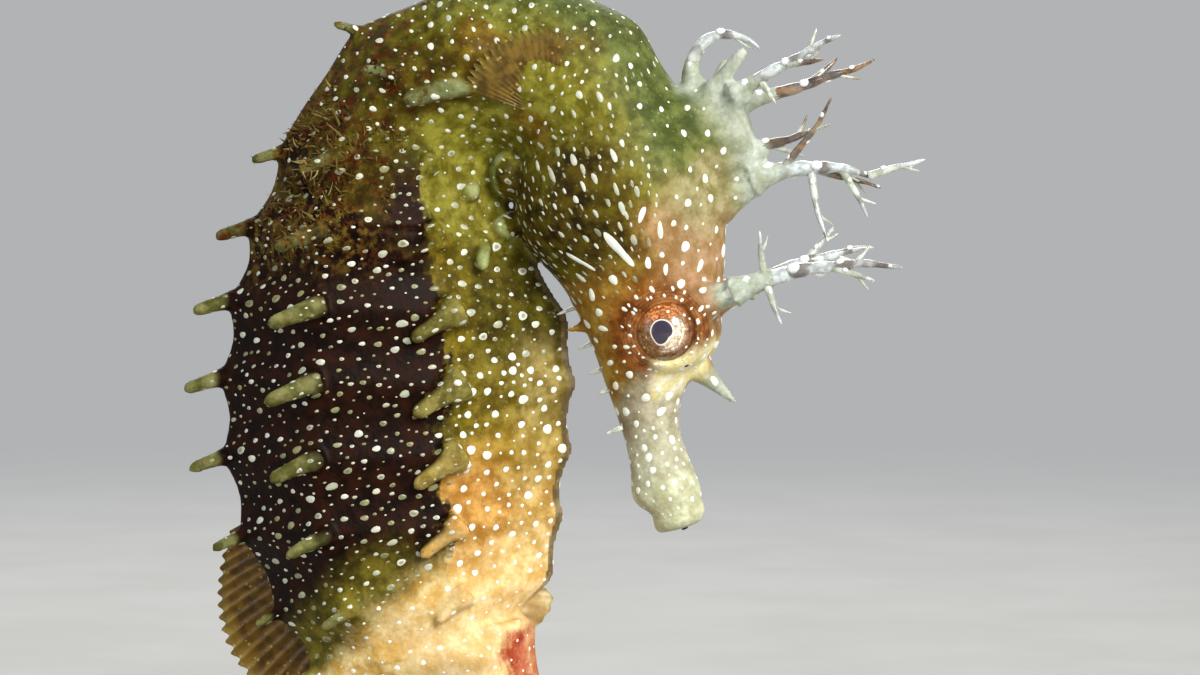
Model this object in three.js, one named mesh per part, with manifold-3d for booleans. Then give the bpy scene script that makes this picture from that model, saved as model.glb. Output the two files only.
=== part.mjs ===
// A long-snouted seahorse (Hippocampus guttulatus), an adult male, as a life-size display model on a plain
// stand. The head is bowed until the chin is near the chest, the neck is arched right over, the trunk hangs
// upright and the tail curls forward under it. Lengths are millimetres. +X is the way the belly faces, +Z is
// up, and the animal's right side faces -Y. The origin is the middle of the stand's underside.
//
// Every body part is drawn along one curved axis that runs from the snout's tip to the tail's tip. A place on
// the animal is (s, v, y): s along the axis from the snout's tip, v from the axis towards the back, and y to
// its left.

import * as THREE from "three";
import { mergeVertices } from "three/addons/utils/BufferGeometryUtils.js";
import Module from "manifold-3d";

const wasm = await Module();
wasm.setup();

const rad = THREE.MathUtils.degToRad;
const GAP = 0.3; // between two pieces that touch
const RIGHT = -1;
const LEFT = 1;

// ---------------------------------------------------------------- driving sizes

const HEAD_LENGTH = 25.5; // snout tip to the hind edge of the gill cover
const NECK_LENGTH = 17.3;
const TRUNK_LENGTH = 31; // from the neck's end to the vent
const TRUNK_RINGS = 11; // neck included
const NECK_RINGS = 4;
const NECK_RING_LENGTH = 3.7;
const TAIL_RINGS = 37;
const RING_SHRINK = 0.98; // each tail ring against the one before it

const AXIS_START = new THREE.Vector2(13.7, 51.9); // at the snout's tip
const AXIS_HEADING = 106.7; // degrees from +X: from the snout's tip the head's axis climbs and leans back
const AXIS_ARCS = [
  { length: HEAD_LENGTH, turn: 0 },
  { length: NECK_LENGTH, turn: 160 },
  { length: 11, turn: 1 },
  { length: 10, turn: 4 },
  { length: 10, turn: 6 },
  { length: 14, turn: 5 },
  { length: 16, turn: 40 },
  { length: 16, turn: 75 },
  { length: 14, turn: 100 },
  { length: 12, turn: 120 },
  { length: 10, turn: 130 },
  { length: 8, turn: 130 },
];
const NECK_END = HEAD_LENGTH + NECK_LENGTH;
const TRUNK_END = NECK_END + TRUNK_LENGTH;
const BODY_LENGTH = AXIS_ARCS.reduce((sum, arc) => sum + arc.length, 0);
const TAIL_LENGTH = BODY_LENGTH - TRUNK_END;

// How far the body reaches from the axis: to the back, to the belly and to each side.
const PROFILE = [
  { at: 0.0, back: -0.7, belly: 3.6, side: 1.5 },
  { at: 1.0, back: -0.25, belly: 3.75, side: 1.75 },
  { at: 2.4, back: -0.15, belly: 4.6, side: 1.95 },
  { at: 4.5, back: -0.3, belly: 4.3, side: 1.75 },
  { at: 6.3, back: -0.3, belly: 4.1, side: 1.7 },
  { at: 8.2, back: 0.5, belly: 4.1, side: 2.0 },
  { at: 10.0, back: 2.6, belly: 4.2, side: 2.9 },
  { at: 12.3, back: 4.1, belly: 4.3, side: 3.7 },
  { at: 14.5, back: 5.1, belly: 4.5, side: 4.0 },
  { at: 17.0, back: 6.0, belly: 4.9, side: 4.4 },
  { at: 20.0, back: 6.8, belly: 5.8, side: 5.2 },
  { at: 23.0, back: 7.1, belly: 6.1, side: 5.6 },
  { at: HEAD_LENGTH, back: 6.4, belly: 5.7, side: 5.4 },
  { at: 27.3, back: 5.8, belly: 5.4, side: 5.3 },
  { at: 29.3, back: 6.1, belly: 5.4, side: 5.3 },
  { at: 34.0, back: 6.0, belly: 5.4, side: 5.8 },
  { at: 39.0, back: 6.9, belly: 5.4, side: 6.5 },
  { at: NECK_END, back: 8.0, belly: 5.4, side: 7.0 },
  { at: 45.0, back: 8.9, belly: 6.0, side: 7.3 },
  { at: 48.0, back: 9.8, belly: 7.4, side: 7.7 },
  { at: 51.0, back: 10.5, belly: 9.0, side: 7.9 },
  { at: 54.0, back: 11.0, belly: 10.2, side: 8.1 },
  { at: 60.0, back: 11.2, belly: 10.3, side: 8.2 },
  { at: 66.0, back: 10.3, belly: 9.5, side: 7.8 },
  { at: 70.5, back: 8.7, belly: 8.7, side: 6.9 },
  { at: TRUNK_END, back: 7.1, belly: 6.6, side: 6.0 },
  { at: 78.0, back: 5.5, belly: 5.2, side: 5.1 },
  { at: 88.0, back: 4.5, belly: 4.4, side: 4.2 },
  { at: 104.0, back: 3.4, belly: 3.3, side: 3.2 },
  { at: 120.0, back: 2.5, belly: 2.4, side: 2.4 },
  { at: 134.0, back: 1.85, belly: 1.8, side: 1.8 },
  { at: 146.0, back: 1.35, belly: 1.3, side: 1.3 },
  { at: 156.0, back: 1.0, belly: 0.95, side: 1.0 },
  { at: BODY_LENGTH, back: 0.6, belly: 0.6, side: 0.6 },
];

// Half a section, from the middle of the back to the middle of the belly, through the three ridges of one
// side. Each pair is a share of the section's half height and of its half width.
const ROUND_FORM = [[1, 0], [0.72, 0.66], [0, 1], [-0.72, 0.68], [-1, 0]];
const TRUNK_FORM = [[0.93, 0], [1, 0.5], [0.38, 1], [-0.41, 0.67], [-1, 0]];
const TAIL_FORM = [[0.9, 0], [1, 0.78], [0, 0.92], [-1, 0.78], [-0.9, 0]];
const HEAD_TO_TRUNK = { from: 23, to: 46 };
const TRUNK_TO_TAIL = { from: 70, to: 80 };
const RINGS_FADE_IN = { from: 28, to: 36 };

const PANEL_RELIEF = 0.15; // how far a ring's middle stands out of its edges
const TRUNK_CORNER_RELIEF = 0.45; // at the trunk's ridges
const TAIL_CORNER_RELIEF = 0.14; // at the tail's ridges, as a share of its half width

// ---------------------------------------------------------------- the axis and the sections

function axisAt(s) {
  let { x, y: z } = AXIS_START;
  let heading = rad(AXIS_HEADING);
  let left = s;
  for (const arc of AXIS_ARCS) {
    const step = Math.min(left, arc.length);
    const turn = (rad(arc.turn) * step) / arc.length;
    if (arc.turn === 0) {
      x += step * Math.cos(heading);
      z += step * Math.sin(heading);
    } else {
      const radius = arc.length / rad(arc.turn);
      x += radius * (Math.sin(heading + turn) - Math.sin(heading));
      z += radius * (Math.cos(heading) - Math.cos(heading + turn));
    }
    heading += turn;
    left -= step;
    if (left <= 0) break;
  }
  return { x, z, heading };
}

// The direction along the axis and the one towards the back, at s.
function directionsAt(s) {
  const { heading } = axisAt(s);
  return {
    along: new THREE.Vector3(Math.cos(heading), 0, Math.sin(heading)),
    back: new THREE.Vector3(Math.sin(heading), 0, -Math.cos(heading)),
  };
}

function place(s, v, y) {
  const { x, z } = axisAt(s);
  return new THREE.Vector3(x, y, z).addScaledVector(directionsAt(s).back, v);
}

// A direction given as shares of along, back and left, at s.
function aim(s, along, back, left) {
  const axes = directionsAt(s);
  return new THREE.Vector3(0, left, 0)
    .addScaledVector(axes.along, along)
    .addScaledVector(axes.back, back)
    .normalize();
}

// One column of PROFILE at s, on a smooth curve through its rows.
function profile(key, s) {
  const last = PROFILE.length - 1;
  let i = PROFILE.findIndex((row) => row.at > s) - 1;
  if (i < 0) i = s <= 0 ? 0 : last - 1;
  const slope = (k) => {
    const a = PROFILE[Math.max(k - 1, 0)];
    const b = PROFILE[Math.min(k + 1, last)];
    return (b[key] - a[key]) / (b.at - a.at);
  };
  const width = PROFILE[i + 1].at - PROFILE[i].at;
  const t = THREE.MathUtils.clamp((s - PROFILE[i].at) / width, 0, 1);
  const t2 = t * t;
  const t3 = t2 * t;
  return (
    (2 * t3 - 3 * t2 + 1) * PROFILE[i][key] +
    (t3 - 2 * t2 + t) * width * slope(i) +
    (3 * t2 - 2 * t3) * PROFILE[i + 1][key] +
    (t3 - t2) * width * slope(i + 1)
  );
}

const share = (s, { from, to }) => THREE.MathUtils.smoothstep(s, from, to);

// The bony rings, from the gill cover to the tail's tip. The neck's are short, and the tail's shrink in turn.
const neckRings = NECK_RINGS * NECK_RING_LENGTH;
const trunkRing = (TRUNK_END - HEAD_LENGTH - neckRings) / (TRUNK_RINGS - NECK_RINGS);
const firstTailRing = (TAIL_LENGTH * (1 - RING_SHRINK)) / (1 - RING_SHRINK ** TAIL_RINGS);
const RINGS = [];
for (let i = 0, from = HEAD_LENGTH; i < TRUNK_RINGS + TAIL_RINGS; i++) {
  const bodyRing = i < NECK_RINGS ? NECK_RING_LENGTH : trunkRing;
  const length = i < TRUNK_RINGS ? bodyRing : firstTailRing * RING_SHRINK ** (i - TRUNK_RINGS);
  RINGS.push({ from, middle: from + length / 2, to: from + length });
  from += length;
}

// 0 at a ring's edge and 1 at its middle, fading in behind the head.
function crest(s) {
  const ring = RINGS.find((r) => s >= r.from && s <= r.to);
  if (!ring) return 0;
  const across = (s - ring.from) / (ring.to - ring.from);
  return Math.sin(Math.PI * across) ** 2 * share(s, RINGS_FADE_IN);
}

// The eight corners of the section at s, as [v, y], from the middle of the back round the left side.
function corners(s) {
  const back = profile("back", s);
  const belly = profile("belly", s);
  const side = profile("side", s);
  const centre = (back - belly) / 2;
  const half = (back + belly) / 2;
  const toTrunk = share(s, HEAD_TO_TRUNK);
  const toTail = share(s, TRUNK_TO_TAIL);
  const rise = crest(s);
  const cornerRise = THREE.MathUtils.lerp(TRUNK_CORNER_RELIEF, TAIL_CORNER_RELIEF * side, toTail);
  const half5 = ROUND_FORM.map((_, k) => {
    const form = [0, 1].map((n) => {
      const ahead = THREE.MathUtils.lerp(ROUND_FORM[k][n], TRUNK_FORM[k][n], toTrunk);
      return THREE.MathUtils.lerp(ahead, TAIL_FORM[k][n], toTail);
    });
    const isRidge = k === 1 || k === 3 || (k === 2 && toTail < 0.5);
    const inFold = k >= 3 && s < 47; // the belly side of the neck is a fold, with no rings
    const grown = 1 + (inFold ? 0 : (rise * (isRidge ? cornerRise : PANEL_RELIEF)) / half);
    return [centre + form[0] * half * grown, form[1] * side * grown];
  });
  return [...half5, ...half5.slice(1, 4).reverse().map(([v, y]) => [v, -y])];
}

// The section's outline: its corners and, but for the tail, a point between each two that is near the chord
// on the trunk and on a round curve on the head.
function section(s, grow, cornersOnly) {
  const ring = corners(s);
  const n = ring.length;
  const round = THREE.MathUtils.lerp(1, 0.3, share(s, HEAD_TO_TRUNK));
  const points = [];
  for (let k = 0; k < n; k++) {
    const [a, b, c, d] = [-1, 0, 1, 2].map((o) => ring[(k + o + n) % n]);
    points.push(b);
    if (cornersOnly) continue;
    points.push(
      [0, 1].map((m) => {
        const chord = (b[m] + c[m]) / 2;
        const curve = (9 * (b[m] + c[m]) - a[m] - d[m]) / 16;
        return THREE.MathUtils.lerp(chord, curve, round);
      }),
    );
  }
  const centre = (profile("back", s) - profile("belly", s)) / 2;
  return points.map(([v, y]) => {
    const reach = Math.hypot(v - centre, y);
    const k = (reach + grow) / reach;
    return place(s, centre + (v - centre) * k, y * k);
  });
}

// ---------------------------------------------------------------- solids

const fromPoints = (positions) =>
  new THREE.BufferGeometry().setAttribute("position", new THREE.Float32BufferAttribute(positions, 3));

// A closed body through rings of points, each with the same number of points, with flat ends.
function loft(rings) {
  const n = rings[0].length;
  const positions = [];
  const push = (...points) => points.forEach((p) => positions.push(p.x, p.y, p.z));
  for (let i = 0; i + 1 < rings.length; i++)
    for (let k = 0; k < n; k++) {
      const [a, b] = [rings[i][k], rings[i][(k + 1) % n]];
      const [c, d] = [rings[i + 1][k], rings[i + 1][(k + 1) % n]];
      push(a, b, d, a, d, c);
    }
  const middle = (ring) => ring.reduce((sum, p) => sum.add(p), new THREE.Vector3()).divideScalar(n);
  const [first, last] = [rings[0], rings[rings.length - 1]];
  const [start, end] = [middle(first), middle(last)];
  for (let k = 0; k < n; k++) {
    push(first[(k + 1) % n], first[k], start);
    push(last[k], last[(k + 1) % n], end);
  }
  return fromPoints(positions);
}

function toSolid(geometry) {
  const plain = geometry.index ? geometry.toNonIndexed() : geometry.clone();
  plain.deleteAttribute("normal");
  plain.deleteAttribute("uv");
  const merged = mergeVertices(plain, 1e-4);
  const triVerts = new Uint32Array(merged.index.array);
  const mesh = { numProp: 3, vertProperties: merged.attributes.position.array, triVerts };
  let solid = new wasm.Manifold(new wasm.Mesh(mesh));
  if (solid.volume() < 0) {
    for (let i = 0; i < triVerts.length; i += 3)
      [triVerts[i + 1], triVerts[i + 2]] = [triVerts[i + 2], triVerts[i + 1]];
    solid = new wasm.Manifold(new wasm.Mesh(mesh));
  }
  return solid;
}

function toGeometry(solid) {
  const mesh = solid.getMesh();
  return new THREE.BufferGeometry()
    .setAttribute("position", new THREE.BufferAttribute(new Float32Array(mesh.vertProperties), 3))
    .setIndex(new THREE.BufferAttribute(new Uint32Array(mesh.triVerts), 1));
}

const join = (first, ...rest) => rest.reduce((sum, part) => sum.add(part), first);
const cut = (solid, ...tools) => tools.reduce((left, tool) => left.subtract(tool), solid);

// The largest body of a solid, without the slivers that a cut can leave.
const largest = (solid) => solid.decompose().sort((a, b) => b.volume() - a.volume())[0];

const HEAD_STEPS = [0, 1, 2.4, 4.5, 6.3, 8.2, 10, 12.3, 14.5, 17, 20, 23];
const STATIONS = [...HEAD_STEPS, ...RINGS.flatMap((r) => [r.from, r.middle])];

function body(from, to, grow = 0) {
  const inside = STATIONS.filter((s) => s > from + 0.4 && s < to - 0.4);
  return toSolid(loft([from, ...inside, to].map((s) => section(s, grow, to > TRUNK_END + 11))));
}

// A tapering rod of a few sides along a path, with a blunt or pointed tip.
function horn(path, radii, sides = 6) {
  const up = new THREE.Vector3(0, 1, 0.13).normalize();
  const rings = path.map((p, i) => {
    const ahead = path[Math.min(i + 1, path.length - 1)].clone().sub(path[Math.max(i - 1, 0)]).normalize();
    const u = up.clone().addScaledVector(ahead, -up.dot(ahead));
    if (u.length() < 0.2) u.set(1, 0, 0).addScaledVector(ahead, -ahead.x);
    u.normalize();
    const w = ahead.clone().cross(u);
    return Array.from({ length: sides }, (_, k) => {
      const angle = (2 * Math.PI * k) / sides;
      const [a, b] = [radii[i] * Math.cos(angle), radii[i] * Math.sin(angle)];
      return p.clone().addScaledVector(u, a).addScaledVector(w, b);
    });
  });
  return toSolid(loft(rings));
}

// A straight fleshy spine, sunk a little into what it grows from.
function spine(root, direction, length, thick, tip = 0.3) {
  const at = (d) => root.clone().addScaledVector(direction, d);
  return horn([at(-0.8), at(length * 0.75), at(length)], [thick * 1.3, thick * 0.72, thick * tip], 5);
}

// A path of the given length from root. It sets off at rise degrees from +X towards +Z, bends by bend
// degrees, and drifts sideways by drift mm.
function strand(root, rise, length, bend, drift, steps) {
  const path = [root.clone()];
  for (let i = 0; i < steps; i++) {
    const angle = rad(rise + bend * ((i + 0.5) / steps));
    const step = new THREE.Vector3(Math.cos(angle), 0, Math.sin(angle)).multiplyScalar(length / steps);
    path.push(path[i].clone().add(step).add(new THREE.Vector3(0, drift / steps, 0)));
  }
  return path;
}

// A skin filament with its side branches. Each branch starts at a share of the filament's length.
function cirrus({ root, rise, length, bend = 0, drift = 0, thick, branches = [], fuller = 0 }) {
  const steps = Math.abs(bend) > 90 ? 6 : 4;
  const path = strand(onHead(...root), rise, length, bend, drift, steps);
  const tip = 0.25;
  const radii = path.map((_, i) => THREE.MathUtils.lerp(thick, tip, (i / steps) ** 0.7) + fuller);
  const parts = [horn(path, radii, 5)];
  const twigSteps = 2;
  for (const b of branches) {
    const from = path[Math.round(b.at * steps)];
    const twig = strand(from, b.rise, b.length, b.bend ?? 0, b.drift ?? 0, twigSteps);
    parts.push(horn(twig, twig.map((_, i) => THREE.MathUtils.lerp(0.33, tip, i / twigSteps) + fuller), 5));
  }
  return join(...parts);
}

// ---------------------------------------------------------------- eyes

const EYE = { at: 12.5, v: 1.1, out: 2.55, radius: 2.15 };

function eyeball(side, grow = 0) {
  const centre = place(EYE.at, EYE.v, side * EYE.out);
  const ball = new THREE.SphereGeometry(EYE.radius + grow, 12, 8);
  return toSolid(ball.translate(centre.x, centre.y, centre.z));
}

// The cone of skin that carries the eye, turned about the eye's own axis.
function eyeTurret(side) {
  const outline = [[0, 1.2], [3.05, 1.2], [2.8, 3.1], [2.5, 3.9], [2.2, 4.1], [0, 4.1]];
  const turret = new THREE.LatheGeometry(outline.map(([r, h]) => new THREE.Vector2(r, h)), 12);
  turret.rotateX((side * Math.PI) / 2);
  const centre = place(EYE.at, EYE.v, 0);
  return toSolid(turret.translate(centre.x, centre.y, centre.z));
}

// ---------------------------------------------------------------- head

const SNOUT_CUT = 9.2; // where the snout tube meets the face

// A place by the head's own straight axis, which the crown and the filaments are set out from.
const headAxes = directionsAt(0);
const onHead = (along, back, left) =>
  new THREE.Vector3(AXIS_START.x, left, AXIS_START.y)
    .addScaledVector(headAxes.along, along)
    .addScaledVector(headAxes.back, back);

const noseSpine = () => spine(onHead(9.3, 2.1, 0), aim(0, -0.87, 0.42, 0), 3.2, 0.7, 0.25);
const cheekSpine = (side) =>
  spine(onHead(14.2, -4.1, side * 1.2), aim(0, 0.05, -1, side * 0.35), 1.5, 0.4, 0.4);
const browSpine = (side, grow = 0) =>
  spine(onHead(13.6, 4.0, side * 2.3), aim(0, 0, 1, side * 0.16), 2.9 + grow, 1.05 + grow, 0.6);

// The plate in front of the crown, with its middle spine, which carries the largest filament.
const frontSpine = (grow = 0) =>
  spine(onHead(19.7, 6.4, 0), aim(0, 0.16, 1, 0), 3.1 + grow, 1.35 + grow, 0.6);

// The crown: a long stalk that flares a little and carries blunt points.
const CORONET_LEVELS = [
  { at: 23.8, back: 4.8, long: 4.0, wide: 2.9 },
  { at: 23.8, back: 7.4, long: 3.3, wide: 2.0 },
  { at: 24.0, back: 8.9, long: 3.2, wide: 1.9 },
  { at: 24.1, back: 9.7, long: 2.6, wide: 1.3 },
];
const CORONET_POINTS = [
  { at: 26.6, back: 8.4, left: -0.9, toward: [0.62, 0.9, -0.3], length: 3.4 },
  { at: 26.6, back: 8.2, left: 0.9, toward: [0.8, 0.5, 0.4], length: 2.2 },
  { at: 25.2, back: 9.2, left: -1.2, toward: [0.2, 1, -0.45], length: 1.6 },
  { at: 25.2, back: 9.2, left: 1.2, toward: [0.2, 1, 0.45], length: 1.6 },
  { at: 22.0, back: 9.0, left: 0, toward: [-0.3, 1, 0], length: 1.5 },
];

function coronet(grow = 0) {
  const sides = 10;
  const rings = CORONET_LEVELS.map(({ at, back, long, wide }, level) =>
    Array.from({ length: sides }, (_, k) => {
      const angle = (2 * Math.PI * k) / sides;
      const lift = level === CORONET_LEVELS.length - 1 ? grow : 0;
      return onHead(at + (long + grow) * Math.cos(angle), back + lift, (wide + grow) * Math.sin(angle));
    }),
  );
  const points = CORONET_POINTS.map(({ at, back, left, toward, length }) =>
    spine(onHead(at, back, left), aim(0, ...toward), length + grow, 0.62 + grow, 0.6),
  );
  return join(toSolid(loft(rings)), ...points);
}

// Skin filaments. Each root is given by the head's axis as [along, back, left].
const CIRRI = {
  cirrus_front: {
    root: [20.2, 9.4, 0], rise: 22, length: 7.4, bend: -40, thick: 0.75,
    branches: [
      { at: 0.25, rise: 46, length: 6.0, bend: 14, drift: -1.4 },
      { at: 0.5, rise: -82, length: 5.0, bend: 12, drift: -1.0 },
      { at: 0.5, rise: -16, length: 4.6, drift: 1.2 },
      { at: 0.75, rise: -62, length: 3.6, drift: 0.3 },
      { at: 1, rise: 20, length: 3.8, bend: -6 },
    ],
  },
  cirrus_brow_right: {
    root: [13.6, 6.5, -2.9], rise: 24, length: 10.8, bend: -30, drift: -1.2, thick: 0.66,
    branches: [
      { at: 0.2, rise: 96, length: 3.2, drift: -0.9 },
      { at: 0.2, rise: -66, length: 3.0, drift: -1.2 },
      { at: 0.6, rise: -18, length: 3.0, drift: -0.9 },
    ],
  },
  cirrus_brow_left: {
    root: [13.6, 6.5, 2.9], rise: 30, length: 8.2, bend: -24, drift: 2.6, thick: 0.6,
    branches: [{ at: 0.5, rise: 56, length: 2.8, drift: 1.4 }],
  },
  cirrus_coronet_right: {
    root: [25.8, 9.9, -1.5], rise: 30, length: 7.6, bend: -4, drift: -1.8, thick: 0.5,
    branches: [
      { at: 0.25, rise: -52, length: 2.0, drift: -0.5 },
      { at: 0.5, rise: 4, length: 2.6, drift: -1.0 },
    ],
  },
  cirrus_coronet_left: {
    root: [25.3, 10.0, 1.5], rise: 14, length: 8.4, bend: 8, drift: 1.6, thick: 0.5,
    branches: [{ at: 0.5, rise: 44, length: 2.4, drift: 0.9 }],
  },
  cirrus_coronet_middle: {
    root: [22.2, 9.8, 0], rise: 12, length: 4.0, bend: 8, drift: -0.4, thick: 0.42,
    branches: [{ at: 0.33, rise: -24, length: 2.2, drift: 1.2 }],
  },
  cirrus_coronet_hind: {
    root: [27.2, 7.4, 0], rise: 112, length: 6.6, bend: -168, drift: 0.4, thick: 0.55,
  },
};

// ---------------------------------------------------------------- fins

// A fan of fin membrane, as a thin plate with a scalloped edge. It starts flat, with its root at the origin
// and its middle ray along +X.
function fan({ reach, spread, rays, root, thick }) {
  const outline = new THREE.Shape();
  outline.moveTo(0, -root / 2);
  for (let i = 0; i <= rays * 2; i++) {
    const angle = rad(spread) * (i / (rays * 2) - 0.5);
    const length = reach * (i % 2 ? 0.93 : 1);
    outline.lineTo(length * Math.cos(angle), (root / 2) * Math.sin(angle) + length * Math.sin(angle));
  }
  outline.lineTo(0, root / 2);
  outline.closePath();
  const sheet = new THREE.ExtrudeGeometry(outline, { depth: thick, bevelEnabled: false });
  return sheet.translate(0, 0, -thick / 2);
}

const PECTORAL = { at: 29.6, v: -1.2, out: 4.7, reach: 5.4, spread: 80, rays: 7, root: 2.6, thick: 0.5 };

function pectoralFin(side) {
  const out = new THREE.Vector3(0, side, 0);
  const ray = aim(PECTORAL.at, 0.82, 0.42, side * 0.38);
  const normal = out.clone().addScaledVector(ray, -out.dot(ray)).normalize();
  const across = normal.clone().cross(ray);
  const frame = new THREE.Matrix4().makeBasis(ray, across, normal);
  frame.setPosition(place(PECTORAL.at, PECTORAL.v, side * PECTORAL.out));
  return toSolid(fan(PECTORAL).applyMatrix4(frame));
}

// A fin on the middle line: a plate that follows the back or the belly between two places on the axis.
function middleFin({ from, to, sign, height, rake, rays, thick, key }) {
  const low = [];
  const high = [];
  for (let i = 0; i <= rays; i++) {
    const t = i / rays;
    const s = THREE.MathUtils.lerp(from, to, t);
    const foot = profile(key, s) - 1.2;
    const tall = height * Math.sin(Math.PI * (0.18 + 0.68 * t)) * (i % 2 ? 0.96 : 1);
    low.push([s, sign * foot]);
    high.push([s + rake * (t + 0.35), sign * (foot + 1.2 + tall)]);
  }
  const rim = [...low, ...high.reverse()];
  const face = (y) => rim.map(([s, v]) => place(s, v, y));
  return toSolid(plate(face(thick / 2), face(-thick / 2)));
}

// A closed plate between two like outlines, each a row of feet and then the same number of tips in reverse.
function plate(near, far) {
  const n = near.length;
  const positions = [];
  const push = (...points) => points.forEach((p) => positions.push(p.x, p.y, p.z));
  for (let k = 0; k < n; k++) {
    const m = (k + 1) % n;
    push(near[k], far[m], near[m], near[k], far[k], far[m]);
  }
  for (let k = 0; k + 1 < n / 2; k++) {
    const [a, b, c, d] = [k, k + 1, n - 2 - k, n - 1 - k];
    push(near[a], near[b], near[c], near[a], near[c], near[d]);
    push(far[a], far[c], far[b], far[a], far[d], far[c]);
  }
  return fromPoints(positions);
}

const DORSAL = { from: 65.5, to: 76, sign: 1, height: 4.8, rake: 3.2, rays: 18, thick: 0.55, key: "back" };
const ANAL = { from: 71.4, to: 73.6, sign: -1, height: 1.3, rake: 1.0, rays: 4, thick: 0.55, key: "belly" };

// ---------------------------------------------------------------- brood pouch

const POUCH = { from: 73.6, to: 96, depth: 3.8, ledge: 0.7 };

// The pouch hangs under the tail's root. It starts as a low ledge under the vent and swells from there.
function pouch(grow = 0) {
  const steps = 8;
  const sides = 10;
  const rings = Array.from({ length: steps + 1 }, (_, i) => {
    const t = i / steps;
    const s = THREE.MathUtils.lerp(POUCH.from - grow, POUCH.to + grow, t);
    const swell = Math.sin(Math.PI * THREE.MathUtils.lerp(0.06, 0.97, t ** 1.4)) ** 1.5;
    const belly = profile("belly", s);
    const hang = POUCH.depth * swell + POUCH.ledge * (1 - t ** 4) + grow;
    const [high, low] = [-0.3 * belly, -belly - hang];
    const half = profile("side", s) * (0.55 + 0.5 * swell) + grow;
    return Array.from({ length: sides }, (_, k) => {
      const angle = (2 * Math.PI * k) / sides;
      return place(s, (high + low) / 2 + ((high - low) / 2) * Math.cos(angle), half * Math.sin(angle));
    });
  });
  return toSolid(loft(rings));
}

// ---------------------------------------------------------------- the trunk's fleshy spines

// Rows of finger-like tubercles on the three ridges of each side, one on each ring. They stand out from the
// axis, turned by lean towards the tail, by back towards the back and by out sideways.
const SPINE_ROWS = [
  { corner: 1, first: 3, last: 10, length: 2.5, thick: 0.5, lean: 0.2, back: 0, out: 0.2 },
  { corner: 2, first: 3, last: 10, length: 3.0, thick: 0.6, lean: 0.45, back: 0.9, out: 0 },
  { corner: 3, first: 4, last: 10, length: 3.0, thick: 0.6, lean: 0.75, back: 1.7, out: -0.25 },
];

function trunkSpines(from, to) {
  const spines = [];
  for (const row of SPINE_ROWS)
    for (let i = row.first; i <= row.last; i++) {
      const s = RINGS[i].middle;
      if (s < from || s > to) continue;
      const [v, y] = corners(s)[row.corner];
      const size = 0.65 + 0.35 * Math.sin((Math.PI * (i - row.first)) / (row.last - row.first));
      for (const side of [LEFT, RIGHT]) {
        const reach = Math.hypot(v, y);
        const direction = aim(s, row.lean, v / reach + row.back, side * (y / reach + row.out));
        spines.push(spine(place(s, v, side * y), direction, row.length * size, row.thick * size, 0.6));
      }
    }
  return spines;
}

// A broad blunt finger that lies back along each side of the neck.
const NECK_FINGER = { at: 35.6, v: -0.3, out: 5.3, length: 4.2, thick: 0.75 };

function neckFinger(side, grow = 0) {
  const { at, v, out, length, thick } = NECK_FINGER;
  return spine(place(at, v, side * out), aim(at, 1, 0.05, side * 0.4), length, thick + grow, 0.7);
}

// ---------------------------------------------------------------- stand

const BASE = { radius: 29, thick: 6, edge: 0.8 };
const ROD = { radius: 1.1, sides: 8, foot: 2.2, cup: 2.0 };
const RODS = { stand_rod_body: { s: 95.5 }, stand_rod_tail: { s: 121.5 } };

function base() {
  const { radius, thick, edge } = BASE;
  const outline = [
    [0, 0], [radius - edge, 0], [radius, edge],
    [radius, thick - edge], [radius - edge, thick], [0, thick],
  ];
  const disc = new THREE.LatheGeometry(outline.map(([r, h]) => new THREE.Vector2(r, h)), 32);
  return toSolid(disc.rotateX(Math.PI / 2));
}

// A rod straight up from the base to the tail at s, with a small cup at its top that the tail lies in.
function rod(s) {
  const { x, z } = axisAt(s);
  const low = BASE.thick + GAP;
  const high = z - profile("back", s) + 0.3;
  const outline = [
    [0, low], [ROD.foot, low], [ROD.foot, low + 1], [ROD.radius, low + 1.4],
    [ROD.radius, high - 2.9], [ROD.cup, high], [0, high],
  ];
  const turned = new THREE.LatheGeometry(outline.map(([r, h]) => new THREE.Vector2(r, h)), ROD.sides);
  return toSolid(turned.rotateX(Math.PI / 2).translate(x, 0, 0));
}

// ---------------------------------------------------------------- the whole model

const CUTS = {
  neck: HEAD_LENGTH,
  trunk_upper: RINGS[NECK_RINGS].from,
  trunk_lower: RINGS[7].from,
  tail_base: TRUNK_END,
  tail_shaft: 92,
  tail_bend: 107,
  tail_coil_outer: 120,
  tail_coil_inner: 132,
  tail_coil_end: 144,
};

const COLOURS = {
  snout: 0xa9a468, head: 0x8a5a1e, coronet: 0xb7a67c, cirri: 0xb9b79f, eye: 0x5a2f12, neck: 0x7d6a1f,
  trunk: 0x5b3a14, pouch: 0xc9a765, tail: 0x8a6a28, fin: 0xa08845, base: 0x2a1b12, rod: 0x9a9a9c,
};

const model = new THREE.Group();

function add(name, solid, colour, roughness = 0.55, metalness = 0) {
  const material = new THREE.MeshStandardMaterial({ color: COLOURS[colour], roughness, metalness });
  const mesh = new THREE.Mesh(toGeometry(largest(solid)), material);
  mesh.name = name;
  model.add(mesh);
}

const half = GAP / 2;
const turrets = [eyeTurret(RIGHT), eyeTurret(LEFT)];
const sockets = [eyeball(RIGHT, GAP), eyeball(LEFT, GAP)];
const headBody = body(SNOUT_CUT + half, HEAD_LENGTH - half);

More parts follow.
